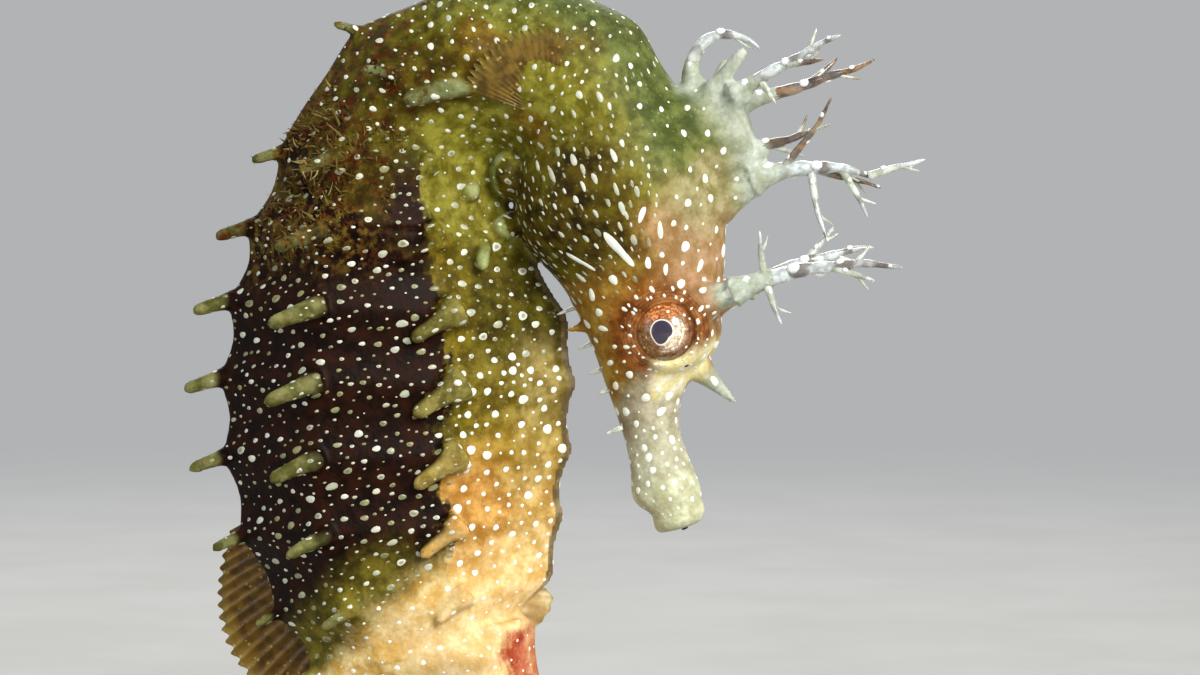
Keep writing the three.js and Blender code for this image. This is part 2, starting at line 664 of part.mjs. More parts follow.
add("snout", body(0, SNOUT_CUT - half), "snout");
const head = join(
  headBody, ...turrets, noseSpine(), frontSpine(),
  browSpine(RIGHT), browSpine(LEFT), cheekSpine(RIGHT), cheekSpine(LEFT),
);
const headEnds = [body(SNOUT_CUT - 3, SNOUT_CUT + half, 4), body(HEAD_LENGTH - half, 30, 2)];
add("head", cut(head, ...sockets, ...headEnds), "head");
add("eye_right", eyeball(RIGHT), "eye", 0.1);
add("eye_left", eyeball(LEFT), "eye", 0.1);

const headRoom = body(14, 30, GAP);
add("coronet", cut(coronet(), headRoom, frontSpine(GAP)), "coronet");
const taken = [headRoom, coronet(GAP), frontSpine(GAP), browSpine(RIGHT, GAP), browSpine(LEFT, GAP)];
for (const [name, sizes] of Object.entries(CIRRI)) {
  add(name, cut(cirrus(sizes), ...taken), "cirri");
  taken.push(cirrus({ ...sizes, fuller: GAP }));
}

const neck = body(CUTS.neck + half, CUTS.trunk_upper - half);
const neckSpines = [...trunkSpines(CUTS.neck, CUTS.trunk_upper), neckFinger(RIGHT), neckFinger(LEFT)];
add("neck", join(neck, ...neckSpines), "neck");
const lengths = Object.entries(CUTS).slice(1);
lengths.forEach(([name, from], i) => {
  const to = i + 1 < lengths.length ? lengths[i + 1][1] - half : BODY_LENGTH;
  const isTrunk = name.startsWith("trunk");
  const skin = body(from + half, to);
  add(name, isTrunk ? join(skin, ...trunkSpines(from, to)) : skin, isTrunk ? "trunk" : "tail");
});

const trunkRoom = body(NECK_END + 10, 84, GAP);
const tailRoom = body(TRUNK_END - 6, 100, GAP);
add("brood_pouch", cut(pouch(), tailRoom, trunkRoom), "pouch");
add("dorsal_fin", cut(middleFin(DORSAL), trunkRoom, tailRoom), "fin");
add("anal_fin", cut(middleFin(ANAL), trunkRoom, tailRoom, pouch(GAP)), "fin");
const neckRoom = body(20, 45, GAP);
add("pectoral_fin_right", cut(pectoralFin(RIGHT), neckRoom, neckFinger(RIGHT, GAP)), "fin");
add("pectoral_fin_left", cut(pectoralFin(LEFT), neckRoom, neckFinger(LEFT, GAP)), "fin");

add("stand_base", base(), "base", 0.4);
for (const [name, { s }] of Object.entries(RODS))
  add(name, cut(rod(s), body(s - 12, s + 12, GAP)), "rod", 0.3, 1);

export default model;
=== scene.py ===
"""The looks of a long-snouted seahorse on its display stand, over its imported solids.

One skin is lofted along the body's axis, joined with its fleshy parts and smoothed. The white spots,
growth, filaments, fins, eyes and stand are meshes of their own. Sizes are millimetres until Shape.mesh turns
them into metres. A place on the animal is (s, v, y): s along the axis from the snout's tip, v towards the
back, and y to its left.
"""
import math

import bpy
import numpy as np
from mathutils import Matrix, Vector, noise
from mathutils.bvhtree import BVHTree


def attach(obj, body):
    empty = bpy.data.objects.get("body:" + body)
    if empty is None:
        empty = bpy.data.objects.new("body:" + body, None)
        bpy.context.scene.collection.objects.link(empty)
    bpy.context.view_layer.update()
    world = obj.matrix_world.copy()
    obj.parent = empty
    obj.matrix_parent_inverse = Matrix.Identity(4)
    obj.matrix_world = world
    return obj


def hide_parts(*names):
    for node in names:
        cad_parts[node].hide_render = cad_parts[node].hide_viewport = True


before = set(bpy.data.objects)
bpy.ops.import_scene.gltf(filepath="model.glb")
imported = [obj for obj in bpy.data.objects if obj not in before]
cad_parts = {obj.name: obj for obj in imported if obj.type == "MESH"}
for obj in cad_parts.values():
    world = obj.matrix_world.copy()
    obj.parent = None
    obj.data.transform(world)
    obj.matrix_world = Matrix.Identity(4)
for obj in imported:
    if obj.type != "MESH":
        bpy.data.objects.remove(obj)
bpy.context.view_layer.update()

MM = 0.001
RIGHT, LEFT = -1, 1

# ------------------------------------------------------------------ driving sizes, as in the solids

HEAD_LENGTH = 25.5
NECK_LENGTH = 17.3
TRUNK_LENGTH = 31.0
TRUNK_RINGS = 11
NECK_RINGS = 4
NECK_RING_LENGTH = 3.7
TAIL_RINGS = 37
RING_SHRINK = 0.98
AXIS_START = (13.7, 51.9)
AXIS_HEADING = 106.7
AXIS_ARCS = [  # length, turn in degrees
    (HEAD_LENGTH, 0), (NECK_LENGTH, 160), (11, 1), (10, 4), (10, 6), (14, 5),
    (16, 40), (16, 75), (14, 100), (12, 120), (10, 130), (8, 130),
]
NECK_END = HEAD_LENGTH + NECK_LENGTH
TRUNK_END = NECK_END + TRUNK_LENGTH
BODY_LENGTH = sum(length for length, _ in AXIS_ARCS)
PROFILE = np.array([  # at, back, belly, side
    (0.0, -0.7, 3.6, 1.5), (1.0, -0.25, 3.75, 1.75), (2.4, -0.15, 4.6, 1.95), (4.5, -0.3, 4.3, 1.75),
    (6.3, -0.3, 4.1, 1.7), (8.2, 0.5, 4.1, 2.0), (10.0, 2.6, 4.2, 2.9), (12.3, 4.1, 4.3, 3.7),
    (14.5, 5.1, 4.5, 4.0), (17.0, 6.0, 4.9, 4.4), (20.0, 6.8, 5.8, 5.2), (23.0, 7.1, 6.1, 5.6),
    (HEAD_LENGTH, 6.4, 5.7, 5.4), (27.3, 5.8, 5.4, 5.3), (29.3, 6.1, 5.4, 5.3), (34.0, 6.0, 5.4, 5.8),
    (39.0, 6.9, 5.4, 6.5), (NECK_END, 8.0, 5.4, 7.0), (45.0, 8.9, 6.0, 7.3), (48.0, 9.8, 7.4, 7.7),
    (51.0, 10.5, 9.0, 7.9), (54.0, 11.0, 10.2, 8.1), (60.0, 11.2, 10.3, 8.2), (66.0, 10.3, 9.5, 7.8),
    (70.5, 8.7, 8.7, 6.9), (TRUNK_END, 7.1, 6.6, 6.0), (78.0, 5.5, 5.2, 5.1), (88.0, 4.5, 4.4, 4.2),
    (104.0, 3.4, 3.3, 3.2), (120.0, 2.5, 2.4, 2.4), (134.0, 1.85, 1.8, 1.8), (146.0, 1.35, 1.3, 1.3),
    (156.0, 1.0, 0.95, 1.0), (BODY_LENGTH, 0.6, 0.6, 0.6),
])
BACK, BELLY, SIDE = 1, 2, 3
ROUND_FORM = np.array([(1, 0), (0.72, 0.66), (0, 1), (-0.72, 0.68), (-1, 0)])
TRUNK_FORM = np.array([(0.93, 0), (1, 0.5), (0.38, 1), (-0.41, 0.67), (-1, 0)])
TAIL_FORM = np.array([(0.9, 0), (1, 0.78), (0, 0.92), (-1, 0.78), (-0.9, 0)])
PANEL_RELIEF = 0.15
TRUNK_CORNER_RELIEF = 0.45
TAIL_CORNER_RELIEF = 0.14

EYE = {"at": 12.5, "v": 1.1, "out": 2.55, "radius": 2.15}

# ------------------------------------------------------------------ the axis and the sections

ARC_LENGTHS = np.array([length for length, _ in AXIS_ARCS], float)
ARC_TURNS = np.radians([turn for _, turn in AXIS_ARCS])
ARC_STARTS = np.concatenate([[0], np.cumsum(ARC_LENGTHS)])[:-1]
ARC_HEADINGS = math.radians(AXIS_HEADING) + np.concatenate([[0], np.cumsum(ARC_TURNS)])[:-1]


def arc_step(heading, length, turn):
    """How far an arc that sets off along heading carries x and z."""
    chord = length * np.sinc(turn / 2 / np.pi)
    middle = heading + turn / 2
    return chord * np.cos(middle), chord * np.sin(middle)


ARC_PLACES = [AXIS_START]
for h, l, t in zip(ARC_HEADINGS, ARC_LENGTHS, ARC_TURNS):
    dx, dz = arc_step(h, l, t)
    ARC_PLACES.append((ARC_PLACES[-1][0] + dx, ARC_PLACES[-1][1] + dz))
ARC_PLACES = np.array(ARC_PLACES)


def axis(s):
    """x, z and heading of the axis at s."""
    s = np.asarray(s, float)
    i = np.clip(np.searchsorted(ARC_STARTS, s, side="right") - 1, 0, len(ARC_STARTS) - 1)
    step = s - ARC_STARTS[i]
    turn = ARC_TURNS[i] * step / ARC_LENGTHS[i]
    dx, dz = arc_step(ARC_HEADINGS[i], step, turn)
    return ARC_PLACES[i, 0] + dx, ARC_PLACES[i, 1] + dz, ARC_HEADINGS[i] + turn


def place(s, v, y):
    x, z, heading = axis(s)
    return np.stack(np.broadcast_arrays(x + v * np.sin(heading), y, z - v * np.cos(heading)), -1)


EYE_MIDDLE = place(EYE["at"], EYE["v"], 0)
EYE_FRONTS = {side: place(EYE["at"], EYE["v"], side * 3.0) for side in (LEFT, RIGHT)}


def aim(s, along, back, left):
    """A direction given as shares of along, back and left, at s."""
    _, _, heading = axis(s)
    c, n = math.cos(heading), math.sin(heading)
    d = np.array([along * c + back * n, left, along * n - back * c])
    return d / np.linalg.norm(d)


def on_head(along, back, left):
    """A place by the head's own straight axis."""
    c, n = math.cos(math.radians(AXIS_HEADING)), math.sin(math.radians(AXIS_HEADING))
    return np.array([AXIS_START[0] + along * c + back * n, left, AXIS_START[1] + along * n - back * c])


def profile(column, s):
    """One column of PROFILE at s, on a smooth curve through its rows."""
    at, value = PROFILE[:, 0], PROFILE[:, column]
    slope = np.empty(len(at))
    slope[1:-1] = (value[2:] - value[:-2]) / (at[2:] - at[:-2])
    slope[0] = (value[1] - value[0]) / (at[1] - at[0])
    slope[-1] = (value[-1] - value[-2]) / (at[-1] - at[-2])
    i = np.clip(np.searchsorted(at, s, side="right") - 1, 0, len(at) - 2)
    width = at[i + 1] - at[i]
    t = np.clip((s - at[i]) / width, 0, 1)
    return (
        (2 * t**3 - 3 * t**2 + 1) * value[i] + (t**3 - 2 * t**2 + t) * width * slope[i]
        + (3 * t**2 - 2 * t**3) * value[i + 1] + (t**3 - t**2) * width * slope[i + 1]
    )


def smoothstep(x, low, high):
    t = np.clip((np.asarray(x, float) - low) / (high - low), 0, 1)
    return t * t * (3 - 2 * t)


def evenly_round(count):
    return 2 * np.pi * np.arange(count) / count


def bump(x, centre, half_width):
    return np.exp(-(((x - centre) / half_width) ** 2))


tail_ring = (BODY_LENGTH - TRUNK_END) * (1 - RING_SHRINK) / (1 - RING_SHRINK**TAIL_RINGS)
RING_LENGTHS = [NECK_RING_LENGTH] * NECK_RINGS
RING_LENGTHS += [(TRUNK_END - HEAD_LENGTH - sum(RING_LENGTHS)) / (TRUNK_RINGS - NECK_RINGS)] * (
    TRUNK_RINGS - NECK_RINGS)
RING_LENGTHS += [tail_ring * RING_SHRINK**i for i in range(TAIL_RINGS)]
RING_EDGES = HEAD_LENGTH + np.concatenate([[0], np.cumsum(RING_LENGTHS)])
RING_MIDDLES = (RING_EDGES[1:] + RING_EDGES[:-1]) / 2


def ring_phase(s):
    """0 to 1 along the ring that s is in."""
    count = np.interp(s, RING_EDGES, np.arange(len(RING_EDGES)))
    return count % 1.0


def rings_shown(s):
    return smoothstep(s, 28, 36)


def crest(s):
    return np.sin(np.pi * ring_phase(s)) ** 2 * rings_shown(s)


def corners(s):
    """The section's eight corners at each s, as (v, y), from the middle of the back round the left side."""
    s = np.atleast_1d(np.asarray(s, float))
    back, belly, side = (profile(c, s) for c in (BACK, BELLY, SIDE))
    centre, half = (back - belly) / 2, (back + belly) / 2
    to_trunk, to_tail = smoothstep(s, 23, 46), smoothstep(s, 70, 80)
    rise = crest(s)
    corner_rise = TRUNK_CORNER_RELIEF * (1 - to_tail) + TAIL_CORNER_RELIEF * side * to_tail
    ring = np.zeros((len(s), 8, 2))
    for k in range(5):
        form = ROUND_FORM[k] + (TRUNK_FORM[k] - ROUND_FORM[k]) * to_trunk[:, None]
        form = form + (TAIL_FORM[k] - form) * to_tail[:, None]
        ridge = (k in (1, 3)) | ((k == 2) & (to_tail < 0.5))
        fold = (k >= 3) & (s < 47)
        grown = 1 + np.where(fold, 0, rise * np.where(ridge, corner_rise, PANEL_RELIEF) / half)
        ring[:, k, 0] = centre + form[:, 0] * half * grown
        ring[:, k, 1] = form[:, 1] * side * grown
    for k in (5, 6, 7):
        ring[:, k] = ring[:, 8 - k] * (1, -1)
    return ring


# Soft forms under the skin: where along the axis, where round the girth (0 is the middle of the back, 2 the
# side and 4 the middle of the belly), how far each way, and how high.
FORMS = [
    ("gill cover", 21.3, 2.6, 4.0, 1.0, 0.7),
    ("throat", 21.0, 4.0, 3.2, 0.9, 0.55),
    ("cheek", 15.2, 2.6, 2.0, 0.9, 0.25),
    ("brow", 12.8, 0.9, 1.7, 0.45, 0.35),
    ("nape knob", 28.9, 0.0, 1.0, 0.9, 0.35),
    ("lips", 0.35, 2.0, 0.45, 4.0, 0.2),
    ("lip groove", 1.25, 2.0, 0.35, 4.0, -0.12),
    ("snout waist", 5.0, 2.0, 1.6, 4.0, -0.1),
    ("gill slit", 26.3, 2.7, 0.5, 1.3, -0.45),
    ("chest shoulder", 45.5, 2.5, 3.0, 1.0, 0.3),
]


def relief(s, girth):
    """Detail on the section's outline, out of it: soft forms, ring ridges and the belly's thin keel."""
    rise = np.zeros(np.broadcast(s, girth).shape)
    for _, at, round_at, along, around, height in FORMS:
        rise = rise + height * bump(s, at, along) * bump(girth, round_at, around)
    phase = ring_phase(s)
    ridge_line = bump(phase, 0.5, 0.13) * rings_shown(s)
    away_from_fold = np.where((girth > 2.6) & (s < 46), 0, 1)
    rise = rise + 0.13 * ridge_line * away_from_fold * np.clip(profile(SIDE, s) / 5, 0, 1)
    keel = bump(girth, 4.0, 0.14) * smoothstep(s, 45, 50) * (1 - smoothstep(s, 70.5, 73))
    return rise + keel * (0.25 + 0.2 * bump(phase, 0.5, 0.25))


def girth_of(u):
    return np.minimum(u, 8 - u)


def outline(s, u):
    """(v, y) on the sections at each s, for each u from 0 to 8 round them. Whole u are the corners."""
    ring = corners(s)
    k = np.floor(u).astype(int) % 8
    t = (u - np.floor(u))[None, :, None]
    a, b, c, d = (ring[:, (k + o) % 8] for o in (-1, 0, 1, 2))
    curve = 0.5 * (2 * b + (c - a) * t + (2 * a - 5 * b + 4 * c - d) * t**2 + (3 * b - a - 3 * c + d) * t**3)
    chord = b + (c - b) * t
    roundness = (1 - 0.7 * smoothstep(s, 23, 46))[:, None, None]
    flat = chord + (curve - chord) * roundness
    centre = ((profile(BACK, s) - profile(BELLY, s)) / 2)[:, None]
    out = flat - np.stack([np.broadcast_to(centre, flat.shape[:2]), np.zeros(flat.shape[:2])], -1)
    reach = np.linalg.norm(out, axis=-1)
    grown = 1 + relief(s[:, None], girth_of(u)[None, :]) / reach
    return centre + out[..., 0] * grown, out[..., 1] * grown


# ------------------------------------------------------------------ meshes

def grid_faces(rows, columns, closed=True):
    i, k = np.meshgrid(np.arange(rows - 1), np.arange(columns if closed else columns - 1), indexing="ij")
    m = (k + 1) % columns
    quad = np.stack([i * columns + k, i * columns + m, (i + 1) * columns + m, (i + 1) * columns + k], -1)
    return quad.reshape(-1, 4)


class Shape:
    """Vertices and faces that grow piece by piece, with any number of named values per vertex."""

    def __init__(self):
        self.points, self.faces, self.values, self.count = [], [], {}, 0

    def add(self, points, faces, **values):
        points = np.asarray(points, float).reshape(-1, 3)
        self.faces += [tuple(int(i) + self.count for i in f) for f in faces]
        self.points.append(points)
        for name, value in values.items():
            flat = np.broadcast_to(np.asarray(value, float), len(points)).ravel()
            self.values.setdefault(name, []).append((self.count, flat))
        self.count += len(points)

    def loft(self, rings, **values):
        """A closed body through rings of points, with flat ends."""
        rings = np.asarray(rings, float)
        n, m = rings.shape[:2]
        ends = [list(range(m))[::-1], [(n - 1) * m + k for k in range(m)]]
        self.add(rings.reshape(-1, 3), [tuple(f) for f in grid_faces(n, m)] + ends, **values)

    def mesh(self, name):
        data = bpy.data.meshes.new(name)
        points = np.concatenate(self.points) * MM
        data.from_pydata(points.tolist(), [], self.faces)
        for key, parts in self.values.items():
            flat = np.zeros(self.count)
            for start, part in parts:
                flat[start:start + len(part)] = part
            set_value(data, key, flat)
        return data


def set_value(data, name, value):
    attribute = data.attributes.new(name, "FLOAT", "POINT")
    attribute.data.foreach_set("value", np.asarray(value, np.float32))


def placed(name, data):
    thing = bpy.data.objects.new(name, data)
    bpy.context.scene.collection.objects.link(thing)
    return thing


def piece(name, data, material, replaces=()):
    """A finished object that rides on the row's one body and stands for the given CAD nodes."""
    data.polygons.foreach_set("use_smooth", [True] * len(data.polygons))
    thing = placed(name, data)
    data.materials.append(material)
    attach(thing, "root")
    if replaces:
        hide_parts(*replaces)
    return thing


def ellipsoid(centre, pole, side, across, levels, turns, gap):
    """Rings of a ball stretched along three half axes, open by gap degrees at both poles."""
    polar = np.radians(np.linspace(gap, 180 - gap, levels))[:, None, None]
    turn = evenly_round(turns)[:, None]
    flat = np.cos(turn) * side + np.sin(turn) * across
    return centre + np.cos(polar) * pole + np.sin(polar) * flat


def path_frames(path):
    """Two directions square to a path at each of its points."""
    ahead = np.gradient(path, axis=0)
    ahead /= np.linalg.norm(ahead, axis=1)[:, None]
    up = np.array([0.05, 1.0, 0.13])
    u = up - (ahead @ up)[:, None] * ahead
    u /= np.linalg.norm(u, axis=1)[:, None]
    return u, np.cross(ahead, u)


def tube_rings(path, radii, sides):
    u, w = path_frames(path)
    angle = evenly_round(sides)
    spoke = u[:, None] * np.cos(angle)[None, :, None] + w[:, None] * np.sin(angle)[None, :, None]
    return path[:, None] + spoke * np.asarray(radii, float)[:, None, None]


def finger(shape, root, direction, length, thick, tip, droop=(0, 0, 0), sides=14, flare=0.4):
    """A fleshy spine with a flared foot and a rounded tip, sunk a little into what it grows from."""
    t = np.linspace(0, 1, 12)
    reach = -0.7 + (length + 0.7) * t
    path = root + direction * reach[:, None] + np.asarray(droop) * (t**2)[:, None]
    shaft = thick * (1 - t) + thick * tip * t
    foot = flare * thick * np.exp(-np.maximum(reach, 0) / (thick * (0.6 + flare)))
    cap = np.sqrt(np.clip(1 - ((t - 0.84) / 0.16).clip(0) ** 2, 0.02, 1))
    shape.loft(tube_rings(path, (shaft + foot) * cap, sides))


# ------------------------------------------------------------------ the filaments' courses

# Root by the head's axis, rise, length, bend, drift and thick, then branches: at, rise, length, bend, drift.
CIRRI = {
    "cirrus_front": ((20.2, 9.4, 0), 22, 7.4, -40, 0, 0.75, [
        (0.25, 46, 6.0, 14, -1.4), (0.5, -82, 5.0, 12, -1.0), (0.5, -16, 4.6, 0, 1.2),
        (0.75, -62, 3.6, 0, 0.3), (1, 20, 3.8, -6, 0)]),
    "cirrus_brow_right": ((13.6, 6.5, -2.9), 24, 10.8, -30, -1.2, 0.66, [
        (0.2, 96, 3.2, 0, -0.9), (0.2, -66, 3.0, 0, -1.2), (0.6, -18, 3.0, 0, -0.9)]),
    "cirrus_brow_left": ((13.6, 6.5, 2.9), 30, 8.2, -24, 2.6, 0.6, [(0.5, 56, 2.8, 0, 1.4)]),
    "cirrus_coronet_right": ((25.8, 9.9, -1.5), 30, 7.6, -4, -1.8, 0.5, [
        (0.25, -52, 2.0, 0, -0.5), (0.5, 4, 2.6, 0, -1.0)]),
    "cirrus_coronet_left": ((25.3, 10.0, 1.5), 14, 8.4, 8, 1.6, 0.5, [(0.5, 44, 2.4, 0, 0.9)]),
    "cirrus_coronet_middle": ((22.2, 9.8, 0), 12, 4.0, 8, -0.4, 0.42, [(0.33, -24, 2.2, 0, 1.2)]),
    "cirrus_coronet_hind": ((27.2, 7.4, 0), 112, 6.6, -168, 0.4, 0.55, []),
}


def strand(root, rise, length, bend, drift, waver, phase):
    """A path that sets off at rise degrees from +X towards +Z, bends evenly and drifts sideways."""
    steps = max(10, int(length * 5))
    t = (np.arange(steps) + 0.5) / steps
    angle = np.radians(rise + bend * t) + waver * np.sin(phase + t * length * 1.6) * t
    step = np.stack([np.cos(angle), np.full(steps, drift / length), np.sin(angle)], -1) * length / steps
    return np.concatenate([[root], root + np.cumsum(step, 0)])


CIRRUS_PATHS = {
    name: strand(on_head(*root) - aim(0, 0, 1, 0) * 0.5, rise, length + 0.5, bend, drift, 0.12, 1.7 * i)
    for i, (name, (root, rise, length, bend, drift, _, _)) in enumerate(CIRRI.items())
}
FILAMENT_SHARE = 0.85  # of a solid's thickness
FILAMENT_TIP = 0.08
FILAMENT_SIDES = 12
TWIG, FORK, SIDE_TWIG, HAIR = (0.24, 0.06), (0.08, 0.04), (0.12, 0.05), (0.12, 0.06)  # thick, tip
BEAD_SPACE, TWIG_BEAD_SPACE = 1.6, 1.9
BEAD_STRETCH = 1.35
BROWN_CIRRI = ("cirrus_coronet_left", "cirrus_coronet_middle")
BROWN_TWIGS = (
    ("cirrus_front", 0), ("cirrus_front", 2), ("cirrus_coronet_right", 1), ("cirrus_coronet_left", 0),
)


# ------------------------------------------------------------------ the skin

SKIN_NODES = [
    "snout", "head", "coronet", "neck", "trunk_upper", "trunk_lower", "tail_base", "tail_shaft", "tail_bend",
    "tail_coil_outer", "tail_coil_inner", "tail_coil_end", "brood_pouch",
]
VOXEL, VOXEL_QUICK = 0.21, 0.42
PULL_IN, PUSH_OUT = 0.5, 0.53
# Corner, first and last ring, length, thick, flare of the foot, and lean: along, back and out.
SPINE_ROWS = [
    (1, 3, 10, 2.7, 0.52, 0.4, 0.2, 0.0, 0.2),
    (2, 3, 10, 3.2, 0.6, 0.5, 0.45, 0.9, 0.0),
    (3, 4, 10, 3.2, 0.6, 1.1, 0.75, 1.7, -0.25),
]
SPINE_TIP = 0.8  # thickness at the tip, as a share of the shaft's


def body_rings():
    """Stations along the whole body, with both ends drawn in to a rounded tip."""
    s = np.concatenate([np.arange(0, 90, 0.24), np.arange(90, BODY_LENGTH, 0.3), [BODY_LENGTH]])
    u = np.arange(0, 8, 1 / 14)
    v, y = outline(s, u)
    rings = place(s[:, None], v, y)
    for end, inward in ((0, -1), (-1, 1)):
        middle = rings[end].mean(0)
        _, _, heading = axis(s[end])
        ahead = np.array([math.cos(heading), 0, math.sin(heading)]) * inward
        reach = np.linalg.norm(rings[end] - middle, axis=1).mean()
        caps = [middle + (rings[end] - middle) * math.cos(a) + ahead * reach * 0.16 * math.sin(a)
                for a in np.radians([25, 50, 72, 86])]
        rings = np.concatenate([caps[::-1], rings] if end == 0 else [rings, caps])
    return rings, s, u


NECK_FINGER = {"at": 35.6, "v": -0.3, "out": 5.3, "length": 4.2, "thick": 0.75}
NECK_KNOBS = [(44.4, 3.5, 0.9, 0.6, 0.2), (48.2, 3.45, 1.7, 0.5, 0.9)]  # at, girth, length, thick, lean


def add_neck_fingers(shape):
    """A broad finger along each side of the neck, and small knobs where the neck meets the belly."""
    f = NECK_FINGER
    for side in (LEFT, RIGHT):
        root, aimed = place(f["at"], f["v"], side * f["out"]), aim(f["at"], 1, 0.05, side * 0.4)
        finger(shape, root, aimed, f["length"], f["thick"], SPINE_TIP)
        for at, girth, length, thick, lean in NECK_KNOBS:
            v, y = (float(part[0, 0]) for part in outline(np.array([at]), np.array([girth])))
            finger(shape, place(at, v, side * y), aim(at, lean, -0.3, side * 0.9), length, thick, SPINE_TIP)


def add_trunk_spines(shape):
    for corner, first, last, length, thick, flare, lean, backward, outward in SPINE_ROWS:
        for i in range(first, last + 1):
            s = RING_MIDDLES[i]
            v, y = corners(s)[0, corner]
            size = 0.65 + 0.35 * math.sin(math.pi * (i - first) / (last - first))
            reach = math.hypot(v, y)
            droop = aim(s, 0.5, 0, 0) * 0.35
            for side in (LEFT, RIGHT):
                aimed = aim(s, lean, v / reach + backward, side * (y / reach + outward))
                finger(shape, place(s, v, side * y), aimed, length * size, thick * size, SPINE_TIP, droop,
                       flare=flare)


def add_tail_knobs(shape):
    """Low knobs on the ridges of the tail's rings, larger on every third ring."""
    for i in range(TRUNK_RINGS, TRUNK_RINGS + TAIL_RINGS - 5):
        s = RING_MIDDLES[i]
        girth = profile(SIDE, np.array(s))
        size = (1.0 if (i - TRUNK_RINGS) % 3 == 0 else 0.6) * (0.35 + 0.14 * girth)
        for corner in (1, 3):
            if corner == 3 and POUCH["from"] < s < POUCH["to"]:
                continue
            v, y = corners(s)[0, corner]
            for side in (LEFT, RIGHT):
                aimed = aim(s, 0.1, v, side * y)
                finger(shape, place(s, v, side * y), aimed, size * 0.8, size * 0.36, 0.7, sides=10)


CORONET_LEVELS = [  # at, back, long, wide
    (23.8, 4.8, 4.0, 2.9), (23.8, 6.4, 3.6, 2.5), (23.8, 7.4, 3.25, 2.05), (23.9, 8.2, 3.15, 1.85),
    (24.0, 8.9, 3.2, 1.85), (24.1, 9.5, 2.9, 1.5), (24.1, 9.75, 2.2, 0.9),
]
CORONET_POINTS = [  # at, back, left, direction, length
    (26.6, 8.4, -0.9, (0.62, 0.9, -0.3), 3.4), (26.6, 8.2, 0.9, (0.8, 0.5, 0.4), 2.2),
    (25.2, 9.2, -1.2, (0.2, 1, -0.45), 1.6), (25.2, 9.2, 1.2, (0.2, 1, 0.45), 1.6),
    (22.0, 9.0, 0.0, (-0.3, 1, 0), 1.5),
]


def add_coronet(shape):
    angle = evenly_round(28)
    rings = [[on_head(at + long * math.cos(a), back, wide * math.sin(a)) for a in angle]
             for at, back, long, wide in CORONET_LEVELS]
    shape.loft(rings)
    for at, back, left, toward, length in CORONET_POINTS:
        finger(shape, on_head(at, back, left), aim(0, *toward), length, 0.6, 0.6)


NOSE_SPINE_ROOT = (9.3, 2.1, 0)  # by the head's axis
PAIRED_SPINES = [  # root by the head's axis, direction, length, thick, tip
    ((13.6, 4.0, 2.3), (0, 1, 0.16), 2.9, 1.0, 0.6),  # over the eye
    ((14.2, -4.1, 1.2), (0.05, -1, 0.35), 1.5, 0.42, 0.35),  # under the chin
]


def add_head_spines(shape):
    droop = aim(0, 0.3, 0.5, 0) * 0.3
    finger(shape, on_head(*NOSE_SPINE_ROOT), aim(0, -0.87, 0.42, 0), 3.2, 0.76, 0.2, droop)
    finger(shape, on_head(19.7, 6.4, 0), aim(0, 0.16, 1, 0), 3.0, 1.3, 0.6)
    for side in (LEFT, RIGHT):
        for (at, back, out), (along, up, sideways), length, thick, tip in PAIRED_SPINES:
            root, aimed = on_head(at, back, side * out), aim(0, along, up, side * sideways)
            finger(shape, root, aimed, length, thick, tip)


def add_sleeves(shape):
    """Skin that runs out along the foot of each filament, so that it grows out of the head."""
    for name, path in CIRRUS_PATHS.items():
        thick = CIRRI[name][5] * FILAMENT_SHARE
        count = max(6, int(len(path) * 0.36))
        t = np.arange(count) / (len(path) - 1)
        share = np.linspace(0, 1, count)
        collar = 0.8 * thick * np.exp(-share * 6)
        radii = thick * (1 - t) ** 0.75 + FILAMENT_TIP + 0.07 - 0.16 * share**3 + collar
        shape.loft(tube_rings(path[:count], radii, 16))


ORBIT_OUTLINE = [  # radius and height over the middle plane
    (3.05, 0.8), (2.98, 1.6), (2.86, 2.4), (2.72, 2.95), (2.55, 3.32),
    (2.36, 3.54), (2.18, 3.6), (2.02, 3.54), (1.92, 3.35), (1.85, 3.0),
]


def add_orbits(shape):
    """The cone of skin round each eye, with a raised rim."""
    angle = evenly_round(40)
    for side in (LEFT, RIGHT):
        rings = [[EYE_MIDDLE + r * math.cos(a) * aim(0, 1, 0, 0) + r * math.sin(a) * aim(0, 0, 1, 0)
                  + np.array([0, side * h, 0]) for a in angle * side] for r, h in ORBIT_OUTLINE]
        shape.loft(rings)


POUCH = {"from": 73.6, "to": 96.0, "depth": 3.8, "ledge": 0.7}


def add_pouch(shape):
    """The pouch starts as a low ledge with a slit in its middle, under the vent, and swells from there."""
    t = np.linspace(0, 1, 60)
    s = POUCH["from"] + (POUCH["to"] - POUCH["from"]) * t
    swell = np.sin(np.pi * (0.06 + 0.91 * t**1.4)) ** 1.5
    belly, side = profile(BELLY, s), profile(SIDE, s)
    hang = POUCH["depth"] * swell + POUCH["ledge"] * (1 - t**4) * np.sqrt(np.clip(t / 0.04, 0, 1))
    high, low = -0.3 * belly, -belly - hang
    half = side * (0.55 + 0.5 * swell)
    angle = evenly_round(48)
    v = (high + low)[:, None] / 2 + (high - low)[:, None] / 2 * np.cos(angle)
    y = half[:, None] * np.sin(angle)
    below = np.cos(angle) < 0
    slit = 0.5 * bump(y, 0, 0.4) * below * bump(s, 76.6, 2.2)[:, None]
    lips = 0.25 * (bump(y, 0.75, 0.35) + bump(y, -0.75, 0.35)) * below * bump(s, 76.6, 2.4)[:, None]
    shape.loft(place(s[:, None], v + slit - lips, y))


